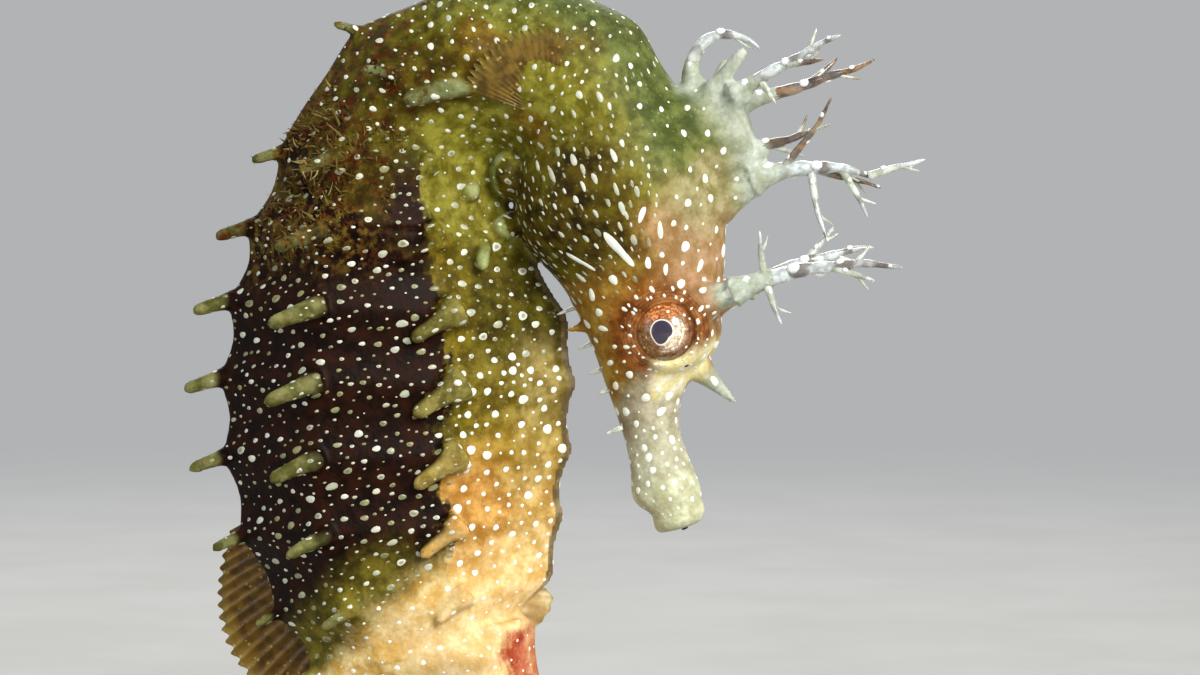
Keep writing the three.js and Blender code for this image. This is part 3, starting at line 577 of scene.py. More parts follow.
def remeshed(shape, voxel):
    """The union of the shape's closed bodies as one even mesh."""
    source = placed("source", shape.mesh("source"))
    remesh = source.modifiers.new("union", "REMESH")
    remesh.mode = "VOXEL"
    remesh.voxel_size = voxel * MM
    even = source.evaluated_get(bpy.context.evaluated_depsgraph_get())
    data = bpy.data.meshes.new_from_object(even)
    bpy.data.objects.remove(source)
    return data


def read_points(data):
    flat = np.empty(len(data.vertices) * 3)
    data.vertices.foreach_get("co", flat)
    return flat.reshape(-1, 3)


def write_points(data, points):
    data.vertices.foreach_set("co", np.asarray(points).ravel())
    data.update()


def relaxed(data, rounds):
    """Smooths a mesh without shrinking it: each round pulls in, then pushes back out."""
    edges = np.empty(len(data.edges) * 2, int)
    data.edges.foreach_get("vertices", edges)
    a, b = edges.reshape(-1, 2).T
    count = np.bincount(a, minlength=len(data.vertices)) + np.bincount(b, minlength=len(data.vertices))
    points = read_points(data)
    for strength in (PULL_IN, -PUSH_OUT) * rounds:
        total = np.stack([
            np.bincount(a, points[b, c], len(points)) + np.bincount(b, points[a, c], len(points))
            for c in range(3)
        ], -1)
        points = points + strength * (total / count[:, None] - points)
    write_points(data, points)


NECK_FOLDS = [  # x, z and half sizes: soft folds of skin in the bend between the head and the chest
    (0.5, 74.3, 1.5, 2.7, 1.9), (0.1, 70.6, 1.3, 2.6, 1.2),
]


def add_neck_folds(shape):
    for x, z, wide, deep, tall in NECK_FOLDS:
        half = np.diag((wide, deep, tall))
        shape.loft(ellipsoid((x, 0, z), half[2], half[0], half[1], 15, 24, 4))


def make_skin():
    rings, stations, u = body_rings()
    shape = Shape()
    shape.loft(rings)
    add_neck_folds(shape)
    add_coronet(shape)
    add_head_spines(shape)
    add_sleeves(shape)
    add_orbits(shape)
    add_pouch(shape)
    add_neck_fingers(shape)
    add_trunk_spines(shape)
    add_tail_knobs(shape)
    data = remeshed(shape, VOXEL)
    relaxed(data, 4)
    mark_skin(data, stations, u)
    return data


def mark_skin(data, stations, u):
    """Gives each vertex its place along the axis and round the girth, and its distance from the body, the
    eyes and the filaments' roots."""
    v, y = outline(stations, u)
    grid = place(stations[:, None], v, y).reshape(-1, 3)
    faces = grid_faces(len(stations), len(u))
    tree = BVHTree.FromPolygons((grid * MM).tolist(), faces.tolist())
    along_of, girth_values = stations[faces[:, 0] // len(u)], girth_of(u[faces[:, 0] % len(u)])
    points = read_points(data)
    found = [tree.find_nearest(p) for p in points.tolist()]
    face = np.array([f[2] for f in found])
    away = np.array([f[3] for f in found]) / MM
    set_value(data, "along", along_of[face])
    set_value(data, "girth", girth_values[face])
    set_value(data, "lift", away)
    roots = [on_head(*cirrus[0]) for cirrus in CIRRI.values()]
    roots.append(on_head(*NOSE_SPINE_ROOT) + aim(0, -1, 0.5, 0) * 2)
    for name, centres in (("eye_distance", EYE_FRONTS.values()), ("root_distance", roots)):
        set_value(data, name, np.min([np.linalg.norm(points / MM - c, axis=1) for c in centres], axis=0))


# ------------------------------------------------------------------ materials

def srgb(code):
    """A linear colour from a hexadecimal one."""
    parts = [((code >> shift) & 255) / 255 for shift in (16, 8, 0)]
    return tuple(c / 12.92 if c <= 0.04045 else ((c + 0.055) / 1.055) ** 2.4 for c in parts)


class Nodes:
    """A material's node tree, written as nested calls. Colours are hexadecimal codes."""

    def __init__(self, name):
        self.material = bpy.data.materials.new(name)
        self.material.use_nodes = True
        self.tree = self.material.node_tree
        self.shader = self.tree.nodes["Principled BSDF"]

    def node(self, kind, inputs=(), **settings):
        n = self.tree.nodes.new(kind)
        for key, value in settings.items():
            setattr(n, key, value)
        for key, value in dict(inputs).items():
            self.feed(n.inputs[key], value)
        return n

    def feed(self, socket, value):
        if isinstance(value, bpy.types.NodeSocket):
            self.tree.links.new(value, socket)
        elif socket.type == "RGBA":
            socket.default_value = (*srgb(value), 1)
        else:
            socket.default_value = value

    def value(self, name):
        return self.node("ShaderNodeAttribute", attribute_name=name).outputs["Fac"]

    def place(self):
        return self.node("ShaderNodeTexCoord").outputs["Object"]

    def stretched(self, *scale):
        return self.node("ShaderNodeMapping", {"Vector": self.place(), "Scale": scale}).outputs["Vector"]

    def noise(self, size, detail=2.0, rough=0.5, warp=0.0, vector=None):
        """Noise whose features are about size millimetres across."""
        n = self.node("ShaderNodeTexNoise", {
            "Vector": vector or self.place(), "Scale": 1000 / size, "Detail": detail, "Roughness": rough,
            "Distortion": warp})
        return n.outputs["Fac"]

    def cells(self, size, feature="F1"):
        inputs = {"Vector": self.place(), "Scale": 1000 / size}
        return self.node("ShaderNodeTexVoronoi", inputs, feature=feature).outputs["Distance"]

    def math(self, operation, a, b=0.0):
        n = self.node("ShaderNodeMath", operation=operation)
        self.feed(n.inputs[0], a)
        self.feed(n.inputs[1], b)
        return n.outputs[0]

    def ramp(self, value, low, high, out_low=0.0, out_high=1.0):
        """A smooth step of value from low to high."""
        n = self.node("ShaderNodeMapRange", {"Value": value, "From Min": low, "From Max": high,
                                             "To Min": out_low, "To Max": out_high},
                      interpolation_type="SMOOTHSTEP")
        return n.outputs["Result"]

    def window(self, value, low, high, edge):
        """1 between low and high, fading over edge on both sides."""
        rise = self.ramp(value, low - edge / 2, low + edge / 2)
        fall = self.ramp(value, high - edge / 2, high + edge / 2, 1, 0)
        return self.times(rise, fall)

    def times(self, first, *others):
        """The product of all the values."""
        return self.math("MULTIPLY", first, self.times(*others)) if others else first

    def shaken(self, value, shake, reach):
        """A value that noise moves by up to half of reach either way."""
        return self.math("ADD", value, self.times(self.math("SUBTRACT", shake, 0.5), reach))

    def mix(self, factor, a, b):
        n = self.node("ShaderNodeMix", data_type="RGBA")
        self.feed(n.inputs["Factor"], factor)
        self.feed(n.inputs["A"], a)
        self.feed(n.inputs["B"], b)
        return n.outputs["Result"]

    def bump(self, height, distance, strength=1.0, normal=None):
        inputs = {"Height": height, "Distance": distance * MM, "Strength": strength}
        if normal:
            inputs["Normal"] = normal
        return self.node("ShaderNodeBump", inputs).outputs["Normal"]

    def finish(self, **inputs):
        for key, value in inputs.items():
            self.feed(self.shader.inputs[key.replace("_", " ")], value)
        return self.material


OLIVE, OLIVE_DEEP = 0x6A6214, 0x463C08
AMBER, GOLD, CREAM = 0x8E6E1C, 0xCCA24C, 0xF0D69A
BROWN, BROWN_RED, BROWN_BLACK = 0x5A4412, 0x5E260A, 0x0D0502
BELLY_BANDS = [  # along the trunk: from, to, the fade between bands, then the darker and the lighter colour
    (41, 48.5, 4, 0x5E5812, 0x96923A), (48, 56, 4, 0x322C06, 0x5C5410), (55.5, 60, 4, 0x52460C, 0x86762A),
    (60, 63.5, 4.5, 0x8A6A1A, 0xC09C40), (63, 68, 5, 0xAC7C36, 0xDCB266), (67.5, 80, 4, 0xDCAE60, 0xF8DCA2),
]


def skin_material():
    m = Nodes("skin")
    ramp, window, times = m.ramp, m.window, m.times
    drift, ragged = m.noise(5, 3), m.noise(1.8, 4, 0.6)
    plain_along, plain_girth = m.value("along"), m.value("girth")
    along, girth = m.shaken(plain_along, drift, 5.0), m.shaken(plain_girth, ragged, 0.55)
    lift, eye = m.value("lift"), m.value("eye_distance")
    mottle, fine, coarse = m.noise(1.1, 5, 0.6), m.noise(0.45, 4, 0.6), m.noise(4.5, 3)

    def patch(dark, light, *masks, spread=(0.35, 0.68)):
        """Lays mottled colour over what is there, as strongly as the product of the masks."""
        nonlocal colour
        colour = m.mix(times(*masks), colour, m.mix(ramp(mottle, *spread), dark, light))

    colour = m.mix(ramp(mottle, 0.35, 0.68), 0x5A540E, 0x8C8430)
    # head: golden brown face, tan brow, pale and greenish crown, dark gill cover, pale snout
    patch(0x8A601C, 0xB4943E, window(along, 8.5, 20, 3))
    patch(0x9A7444, 0xC8A886, window(along, 11.5, 20, 3), ramp(girth, 1.3, 2.1, 1, 0), spread=(0.3, 0.8))
    patch(0x807848, 0xAEA67C, window(along, 18, 23.5, 3), ramp(girth, 1.0, 1.7, 1, 0))
    patch(0x485420, 0x787E42, window(along, 22.5, 27.5, 2), ramp(girth, 1.2, 2.0, 1, 0))
    patch(0x241C06, 0x5E4E12, window(plain_along, 17, 27.5, 3), window(girth, 1.8, 4.5, 0.5))
    patch(OLIVE_DEEP, OLIVE, ramp(coarse, 0.5, 0.62), window(plain_along, 16, 27.5, 3),
          ramp(girth, 1.6, 2.2))
    patch(BROWN_RED, 0x9C561E, ramp(eye, 2.9, 4.8, 0.9, 0), ramp(plain_girth, 1.0, 2.0, 0.3, 1.0))
    rings = m.math("SINE", times(eye, 30.0))
    patch(0x6E3A16, 0xB87A44, ramp(eye, 2.7, 3.05, 0.9, 0))
    colour = m.mix(times(ramp(rings, 0.3, 0.9, 0, 0.5), ramp(eye, 2.7, 3.2, 1, 0)), colour, 0x4A220C)
    patch(0x8E8468, 0xBAB29A, ramp(along, 7.8, 10.2, 1, 0))
    patch(0xA8A488, 0xCCCEB2, ramp(along, 5.0, 8.0, 1, 0))
    patch(0xB2B28A, 0xDADEBC, ramp(along, 1.8, 3.6, 0.8, 0))
    # the cream patch under the eye, on a face turned down into shade: its colour is raised above its own as
    # painted light
    below_eye = times(window(plain_along, 8.3, 11.2, 1.2), window(plain_girth, 0.3, 1.9, 0.5))
    patch(0xF0E29A, 0xFFFBDC, below_eye)
    # neck: olive, brown blotches, pale green along the nape, darker towards the shoulder
    patch(0x5C560E, 0x908C34, window(along, 26, 44, 4), ramp(girth, 0.8, 1.4))
    patch(0x5A400C, 0x8C7420, ramp(coarse, 0.52, 0.62), window(along, 27, 42, 3),
          window(girth, 1.0, 3.0, 0.5))
    patch(0x3E4A22, 0x6C7A42, window(along, 25, 37, 4), ramp(girth, 0.9, 1.8, 1, 0))
    patch(0x342A06, 0x66600F, window(along, 35, 45, 4), ramp(girth, 3.0, 2.4))
    # trunk: near-black flanks and back over a belly panel that pales from olive to cream
    # the flank's end slants, so that its near-black runs further down the back towards the tail; there the
    # dark is partly the flank's own colour and partly painted shade
    flank_end = m.math("ADD", plain_along, times(girth, 3.6))
    stands_off = ramp(lift, 0.3, 0.8)
    panel = m.math("MAXIMUM", ramp(girth, 2.92, 3.04), times(stands_off, ramp(plain_girth, 2.4, 2.6)))
    off_panel = m.math("SUBTRACT", 1.0, panel)
    flank = times(ramp(along, 40.5, 43.5), ramp(flank_end, 76.8, 81, 1, 0), off_panel)
    patch(GOLD, CREAM, ramp(along, 41, 45), ramp(flank_end, 76.8, 81))
    for first, last, fade, dark, light in BELLY_BANDS:
        patch(dark, light, window(along, first, last, fade), panel)
    patch(0xA4702A, 0xD8A65A, window(along, 62, 68, 5), window(girth, 3.0, 3.45, 0.3))
    patch(0x4E4208, 0x82721A, window(along, 47, 61, 3), window(girth, 2.9, 3.25, 0.3))
    # a paler yellow-cream strip along both sides of the keel: painted highlight
    patch(0xA8904A, 0xDCC88C, 0.35, window(along, 54, 70, 4), window(girth, 3.6, 3.97, 0.25))
    patch(0x0E0401, 0x2A1106, flank)
    patch(0x443E0A, 0x7A6E20, ramp(along, 60, 66), window(flank_end, 76.5, 79.5, 3), ramp(girth, 2.8, 2.4))
    patch(0x30240A, 0x56460F, flank, ramp(coarse, 0.48, 0.62), ramp(along, 53, 47))
    patch(0x5E5034, 0x8C7E5E, window(plain_along, 45, 73, 3), ramp(plain_girth, 3.92, 3.985))
    # pouch and tail
    patch(OLIVE_DEEP, BROWN, ramp(along, 78, 86))
    patch(0xDEBA78, 0xF4DCAA, ramp(plain_along, 70, 74), ramp(girth, 2.0, 2.5),
          ramp(plain_along, 92, 97, 1, 0))
    over = m.math("DIVIDE", m.math("SUBTRACT", plain_along, 77.6), 4.3)
    beside = m.math("DIVIDE", m.math("SUBTRACT", 4.0, girth), 0.72)
    slit = ramp(m.math("ADD", times(over, over), times(beside, beside)), 0.7, 1.15, 1, 0)
    patch(0xA03A20, 0xCC7858, slit)
    patch(0xC8824E, 0xE8BC90, slit, ramp(girth, 3.68, 3.88, 0, 0.7))
    bands = m.math("SINE", times(m.math("SUBTRACT", plain_along, 80), 2 * math.pi / 13))
    patch(OLIVE, AMBER, ramp(plain_along, 80, 86), ramp(bands, 0.2, 0.8))
    # what stands off the body is pale
    patch(0x4E4E20, 0x888654, ramp(plain_girth, 2.6, 2.4), stands_off, window(plain_along, 40, 72, 1))
    patch(0x66622E, 0xA09A5C, ramp(plain_girth, 2.5, 2.6, 0, 0.6), stands_off,
          window(plain_along, 50, 64.5, 2))
    patch(0x66703C, 0x96A070, stands_off, window(plain_along, 33, 40, 1))
    patch(0x7C8A48, 0xA8B07A, stands_off, window(plain_along, 42, 50, 1), ramp(plain_girth, 3.2, 3.3))
    crown = times(ramp(plain_along, 32, 30), ramp(plain_girth, 2.2, 1.8), ramp(eye, 3.4, 4.4))
    patch(0x8E9872, 0xB8BE9E, ramp(lift, 0.4, 1.8), crown)
    patch(0xA2AC98, 0xCCD6CA, ramp(lift, 1.0, 2.6, 0, 0.9), crown)
    patch(0xA2AC98, 0xCCD6CA, ramp(m.value("root_distance"), 0.6, 2.6, 0.9, 0))
    # growth on the shoulder, rusty and rough
    shoulder = times(window(along, 37, 50, 3), window(girth, 0.5, 2.6, 0.5))
    patch(BROWN_RED, 0x7A6A26, shoulder, ramp(m.noise(0.7, 6, 0.7), 0.45, 0.6))
    # broad and fine unevenness
    off_flank = m.math("SUBTRACT", 1.0, flank)
    colour = m.mix(times(off_flank, ramp(coarse, 0.35, 0.75, 0, 0.2)), colour, BROWN)
    pale_flecks = times(ramp(m.cells(0.42), 0.16, 0.28, 0.3, 0), ramp(fine, 0.42, 0.6))
    colour = m.mix(times(pale_flecks, off_flank), colour, 0xB6B488)
    pore = ramp(m.cells(0.3), 0.35, 0.6)
    colour = m.mix(times(pore, 0.08), colour, BROWN_BLACK)

    grain = m.bump(m.cells(0.24, "SMOOTH_F1"), 0.05, 0.4)
    wrinkle = m.bump(m.noise(0.9, 5, 0.65, 0.6), 0.16, 0.55, grain)
    rough_patch = m.bump(times(m.noise(0.5, 6, 0.75), shoulder), 0.7, 0.8, wrinkle)
    return m.finish(
        Base_Color=colour, Roughness=ramp(mottle, 0.3, 0.7, 0.45, 0.62), Normal=rough_patch,
        Subsurface_Weight=0.15, Subsurface_Radius=(1.0, 0.45, 0.2), Subsurface_Scale=0.0007,
        Coat_Weight=0.02, Coat_Roughness=0.3, Specular_IOR_Level=0.06,
    )


def spot_material():
    m = Nodes("spots")
    dull, pale = m.value("dull"), m.noise(0.35, 2)
    bright = m.mix(m.ramp(pale, 0.35, 0.65), 0xF4F2E6, 0xE6EEE0)
    dim = m.mix(m.ramp(pale, 0.35, 0.65), 0x8E8A5C, 0x6A7450)
    colour = m.mix(dull, bright, dim)
    colour = m.mix(m.ramp(m.value("hollow"), 0.3, 0.7, 0, 0.6), colour, BROWN)
    return m.finish(Base_Color=colour, Roughness=0.4, Subsurface_Weight=0.1, Subsurface_Scale=0.0003,
                    Coat_Weight=0.2, Coat_Roughness=0.2)


def filament_material():
    m = Nodes("filament")
    run = m.math("ADD", m.value("run"), m.times(m.noise(1.5), 2.2))
    wave = m.math("SINE", m.times(run, 2 * math.pi / 2.6))
    outer = m.ramp(m.value("run"), 1.2, 3.2)
    root = m.mix(m.ramp(m.noise(0.7, 3), 0.4, 0.6), 0xA8AE9A, 0xD0D8CC)
    # outer parts: the filament's whitish tone with the grey backdrop painted in, as light seen through it
    whitish_with_painted_backdrop = m.mix(m.ramp(m.noise(0.5, 3), 0.4, 0.6), 0xAEB6B6, 0xD6DEDE)
    amber = m.mix(m.ramp(m.noise(0.6, 3), 0.4, 0.65), 0x3E2412, 0x8A642E)
    colour = m.mix(outer, root, whitish_with_painted_backdrop)
    colour = m.mix(m.ramp(m.value("run"), 5, 10, 0, 0.5), colour, 0x6A5C50)
    colour = m.mix(m.times(m.ramp(wave, 0.1, 0.9, 0, 0.75), outer), colour, 0x54423A)
    browned = m.times(m.ramp(m.value("run"), 0.2, 1.6, 0, 0.85), m.value("brown"))
    colour = m.mix(browned, colour, amber)
    colour = m.mix(m.value("bead"), colour, 0xFBFCFA)
    return m.finish(Base_Color=colour, Roughness=0.25, Normal=m.bump(m.noise(0.4, 3), 0.04, 0.5),
                    Subsurface_Weight=0.35, Subsurface_Radius=(0.6, 0.5, 0.4), Subsurface_Scale=0.0008,
                    Coat_Weight=0.5, Coat_Roughness=0.12)


def fin_material():
    m = Nodes("fin")
    ray, reach, tone = m.value("ray"), m.value("reach"), m.value("tone")
    shade = m.ramp(m.noise(0.8, 4), 0.35, 0.65)
    membrane = m.mix(tone, m.mix(shade, 0x4A3604, 0x80620E), m.mix(shade, 0xD2B478, 0xF0DCAC))
    colour = m.mix(m.times(ray, 0.35), membrane, 0x3E2C0A)
    colour = m.mix(m.ramp(reach, 0.8, 1.0, 0, 0.25), colour, 0x9E9A50)
    colour = m.mix(m.ramp(m.cells(0.6), 0.12, 0.2, 0.6, 0), colour, 0xC8B258)
    return m.finish(Base_Color=colour, Roughness=0.35, Normal=m.bump(m.noise(0.3, 3), 0.03, 0.5),
                    Alpha=m.ramp(ray, 0.0, 0.7, 0.78, 0.95), Specular_IOR_Level=0.15, Subsurface_Weight=0.3,
                    Subsurface_Radius=(0.8, 0.5, 0.25), Subsurface_Scale=0.0006)


def eye_material():
    m = Nodes("eye")
    edge, upper, radius, front = (m.value(name) for name in ("pupil_edge", "upper", "radius", "lower_front"))
    streaks = m.noise(0.3, 5, 0.7, 1.5)
    brown = m.mix(m.ramp(streaks, 0.4, 0.62), 0x542A0E, 0xA87434)
    # the iris's own copper-brown, with orange glints painted in, laid over its upper half
    copper_and_glints = m.mix(m.ramp(streaks, 0.4, 0.62), 0x8A3608, 0xEA9C50)
    silver = m.mix(m.ramp(streaks, 0.36, 0.6), 0xB0884A, 0xFBF4E0)
    colour = m.mix(m.ramp(upper, 0.2, 0.5), brown, copper_and_glints)
    crescent = m.times(m.ramp(front, 0.15, 0.42), m.ramp(radius, 1.6, 1.3))
    colour = m.mix(crescent, colour, silver)
    line = m.math("SINE", m.times(m.math("ADD", radius, m.times(streaks, 0.12)), 26.0))
    lined = m.times(m.ramp(line, 0.2, 0.9, 0, 0.45), m.ramp(radius, 0.9, 1.2))
    colour = m.mix(lined, colour, 0x4E260E)
    colour = m.mix(m.ramp(radius, 1.55, 1.9, 0, 0.75), colour, 0x5E2E12)
    fleck = m.times(m.ramp(m.cells(0.6), 0.15, 0.2, 1, 0), m.ramp(radius, 1.05, 1.2))
    colour = m.mix(fleck, colour, 0xFFF6E4)
    ring = m.ramp(edge, m.ramp(front, 0.0, 0.5, 0.09, 0.24), 0.04, 0, 1)
    colour = m.mix(ring, colour, 0xFBF2E6)
    colour = m.mix(m.ramp(edge, -0.03, 0.02, 1, 0), colour, 0x2C2038)
    return m.finish(Base_Color=colour, Roughness=0.28, Coat_Weight=1.0, Coat_Roughness=0.03, Coat_IOR=1.5)


def wood_material():
    m = Nodes("base_wood")
    stretched = m.stretched(0.07, 1, 1)
    grain = m.noise(1.6, 6, 0.62, 0.8, vector=stretched)
    pores = m.noise(0.35, 4, 0.7, vector=stretched)
    colour = m.mix(m.ramp(grain, 0.32, 0.68), 0x1E110A, 0x4A2C17)
    colour = m.mix(m.ramp(pores, 0.56, 0.66, 0, 0.7), colour, 0x100906)
    return m.finish(Base_Color=colour, Roughness=m.ramp(grain, 0.3, 0.7, 0.3, 0.42),
                    Normal=m.bump(pores, 0.05, 0.4), Coat_Weight=0.35, Coat_Roughness=0.2)


def steel_material():
    m = Nodes("rod_steel")
    stretched = m.stretched(1, 1, 0.04)
    brush = m.noise(0.2, 4, 0.6, vector=stretched)
    colour = m.mix(brush, 0x8E8E90, 0xB4B4B4)
    return m.finish(Base_Color=colour, Metallic=1.0, Roughness=m.ramp(brush, 0.3, 0.7, 0.25, 0.42),
                    Normal=m.bump(brush, 0.01, 0.3))


def floor_material():
    m = Nodes("floor")
    spread = m.node("ShaderNodeVectorMath", {0: m.place()}, operation="LENGTH").outputs["Value"]
    colour = m.mix(m.ramp(m.noise(30, 3), 0.3, 0.7), 0xBEBDB9, 0xC4C3C0)
    return m.finish(Base_Color=colour, Roughness=0.85, Specular_IOR_Level=0.0,
                    Alpha=m.ramp(spread, 0.2, 0.8, 1, 0))


# ------------------------------------------------------------------ white spots

SPOT_SIDES = 10
STREAK_SIDES = 22
SPOT_CELL = 1.9  # wider than any space between spots
SPOT_TRIES, SPOT_TRIES_QUICK = 70000, 30000
# Streaks on each cheek, by the head's axis: from (along, back) to (along, back), and half width.
CHEEK_STREAKS = [
    ((19.5, -0.5), (17, 0.5), 0.26),  # the long one behind the eye
    ((19, -3.5), (17.5, -2), 0.15),
    ((20.5, 2.5), (19.5, 1.7), 0.22),
    ((9, -1.5), (8.3, -1.6), 0.34),
    ((7.6, -0.5), (7.4, -1.4), 0.26),
    ((15.5, -3), (16.5, -2.6), 0.24),
]
EYE_DASHES = 14


def cheek_marks():
    """The streaks, and short dashes that point away from the eye."""
    rng = np.random.default_rng(5)
    marks = list(CHEEK_STREAKS)
    for k in range(EYE_DASHES):
        angle = 2 * math.pi * (k + rng.uniform(-0.3, 0.3)) / EYE_DASHES
        out = np.array([math.cos(angle), math.sin(angle)])
        start = out * rng.uniform(3.1, 4.2) + (EYE["at"], EYE["v"])
        marks.append((start, start + out * rng.uniform(0.6, 1.2), rng.uniform(0.18, 0.3)))
    return marks


CHEEK_MARKS = cheek_marks()


def between(start, end, share):
    return (a + (b - a) * share for a, b in zip(start, end))


# Spots by region, the first that holds: half width and space of the large ones, then of the small ones, how
# dull they are, how much longer than wide, and the share that are rings with a dark middle.
SPOT_REGIONS = [
    (lambda s, g: s < 2.3, 0.12, 0.95, 0.08, 0.7, 0.1, 1.0, 0),
    (lambda s, g: s < 5, 0.18, 0.8, 0.1, 0.6, 0.0, 1.05, 0),
    (lambda s, g: s < 8.3, 0.19, 1.0, 0.09, 0.7, 0.0, 1.1, 0),
    (lambda s, g: (s < 18) & (g < 1.8), 0.31, 1.5, 0.11, 0.95, 0.0, 1.05, 0.1),
    (lambda s, g: s < 15.5, 0.23, 1.5, 0.1, 0.95, 0.0, 1.3, 0.1),
    (lambda s, g: (s < 27) & (g < 1.5), 0.18, 1.7, 0.1, 1.2, 0.15, 1.1, 0),
    (lambda s, g: s < 27.5, 0.135, 0.92, 0.075, 0.62, 0.6, 2.0, 0.1),
    (lambda s, g: (s < 41) & (g < 1), 0.15, 1.6, 0.085, 1.05, 0.15, 1.1, 0),
    (lambda s, g: s < 41, 0.15, 1.15, 0.08, 0.76, 0.35, 1.3, 0.1),
    (lambda s, g: (s < 55) & (g > 3), 0.2, 1.35, 0.1, 0.85, 0.5, 1.25, 0.2),
    (lambda s, g: (s < 66) & (g > 3), 0.22, 1.12, 0.11, 0.74, 0.1, 1.1, 0),
    (lambda s, g: (s < 70) & (g > 3), 0.16, 1.15, 0.1, 0.8, 0.0, 1.1, 0),
    (lambda s, g: s < 79 - 3.4 * g, 0.16, 1.1, 0.08, 0.6, 0.8, 1.4, 0.3),
    (lambda s, g: (s < 97) & (g > 0.8), 0.13, 1.35, 0.08, 1.0, 0.1, 1.1, 0),
    (lambda s, g: s < 500, 0.15, 1.6, 0.08, 1.1, 0.6, 1.1, 0),
]


def spot_plan(s, girth):
    """Each column of SPOT_REGIONS for each place."""
    tests = [row[0](s, girth) for row in SPOT_REGIONS]
    return [np.select(tests, [row[k] for row in SPOT_REGIONS]) for k in range(1, 8)]


def scatter(data, count, rng):
    """Random places on a mesh, evenly spread over its area: vertices of the triangles and weights."""
    data.calc_loop_triangles()
    tris = np.empty(len(data.loop_triangles) * 3, int)
    data.loop_triangles.foreach_get("vertices", tris)
    tris = tris.reshape(-1, 3)
    points = read_points(data) / MM
    a, b, c = (points[tris[:, k]] for k in range(3))
    area = np.linalg.norm(np.cross(b - a, c - a), axis=1)
    pick = tris[rng.choice(len(tris), count, p=area / area.sum())]
    r1, r2 = np.sqrt(rng.random(count)), rng.random(count)
    weights = np.stack([1 - r1, r1 * (1 - r2), r1 * r2], -1)
    return pick, weights, (points[pick] * weights[..., None]).sum(1)


def values_at(data, pick, weights, *names):
    """Named values of a mesh at the places that scatter gave."""
    flat = np.empty(len(data.vertices), np.float32)
    for name in names:
        data.attributes[name].data.foreach_get("value", flat)
        yield (flat[pick] * weights).sum(1)


def cell_of(p):
    return tuple((p // SPOT_CELL).astype(int))


def spaced(places, space, taken):
    """Which places to keep so that each has its own space round it and from those already taken."""
    kept = []
    for i, (p, room) in enumerate(zip(places, space)):
        key = cell_of(p)
        near = (taken.get((key[0] + a, key[1] + b, key[2] + c), ()) for a in (-1, 0, 1) for b in (-1, 0, 1)
                for c in (-1, 0, 1))
        if all(np.sum((p - q) ** 2) > room**2 for group in near for q in group):
            taken.setdefault(key, []).append(p)
            kept.append(i)
    return np.array(kept)


def add_spot(shape, tree, centre, normal, size, stretch, direction, dull, ringed=0.0, n=SPOT_SIDES):
    """A low white dome that follows the skin under it."""
    normal = Vector(normal)
    side = Vector(direction) - normal * normal.dot(Vector(direction))
    if side.length < 1e-3:
        side = normal.orthogonal()
    side.normalize()
    across = normal.cross(side)
    height = 0.025 + 0.12 * size
    middle = Vector(centre) * MM
    points = [middle + normal * height * MM]
    for share, rise in ((0.6, 0.75), (1.0, -0.1)):
        for k in range(n):
            angle = 2 * math.pi * k / n
            wobble = 1 + 0.07 * math.sin(3 * angle + centre[0] * 7)
            wobble += 0.06 * math.sin(2 * angle + centre[2] * 5)
            reach = size * share * wobble * MM
            p = middle + side * (reach * stretch * math.cos(angle)) + across * (reach * math.sin(angle))
            near, bend, _, _ = tree.find_nearest(p)
            points.append(near + bend * (height * rise * MM))
    faces = [(0, 1 + k, 1 + (k + 1) % n) for k in range(n)]
    faces += [(1 + k, 1 + n + k, 1 + n + (k + 1) % n, 1 + (k + 1) % n) for k in range(n)]
    hollow = np.concatenate([[ringed], np.full(n, 0.35 * ringed), np.zeros(n)])
    shape.add(np.array(points) / MM, faces, dull=dull, hollow=hollow)


def make_spots(skin):
    rng = np.random.default_rng(17)
    faces = [tuple(f.vertices) for f in skin.polygons]
    tree = BVHTree.FromPolygons([tuple(p) for p in read_points(skin)], faces)
    pick, weights, places = scatter(skin, SPOT_TRIES, rng)
    s, girth, lift, eye = values_at(skin, pick, weights, "along", "girth", "lift", "eye_distance")
    # none on the eyes, the snout's tip, the spines and the keel, and few under the growth
    bare = (eye < 3.0) | (s < 0.8) | ((lift > 1.3) & (s < 73)) | ((girth > 3.93) & (s > 44) & (s < 74))
    overgrown = (s > 38) & (s < 48) & (girth > 0.8) & (girth < 2.7) & (rng.random(len(s)) < 0.75)
    open_to_spots = np.flatnonzero(~bare & ~overgrown)
    large, wide, small, narrow, dull, long, ringed = spot_plan(s, girth)
    shape, taken = Shape(), {}
    # the cheek's marks keep their own places free
    for start, end, _ in CHEEK_MARKS:
        for side in (LEFT, RIGHT):
            for share in (0.2, 0.5, 0.8):
                along, back = between(start, end, share)
                hit, _ = on_flank(tree, along, back, side)
                if hit is not None:
                    taken.setdefault(cell_of(hit), []).append(hit)
    # the large ones take their places first, and the small ones fill what is left
    half = len(open_to_spots) // 2
    for chosen, size, space in ((open_to_spots[:half], large, wide), (open_to_spots[half:], small, narrow)):
        grow = rng.lognormal(0, 0.26, len(chosen)).clip(0.55, 1.6)
        kept = spaced(places[chosen], space[chosen] * rng.uniform(0.75, 1.3, len(chosen)), taken)
        for i, scale in zip(chosen[kept], grow[kept]):
            _, normal, _, _ = tree.find_nearest(places[i] * MM)
            away = places[i] - EYE_FRONTS[LEFT if places[i][1] > 0 else RIGHT]
            stretch = long[i] ** rng.uniform(0.6, 1.5) * 1.05
            dulled = np.clip(dull[i] * rng.uniform(0.4, 1.6), 0, 1)
            add_spot(shape, tree, places[i], normal, size[i] * scale, stretch,
                     away if s[i] < 28 else aim(s[i], 0.2, 1, 0), dulled, float(rng.random() < ringed[i]))
    add_streaks(shape, tree, rng)
    add_eye_ring(shape, tree, rng)
    return shape.mesh("spots"), tree


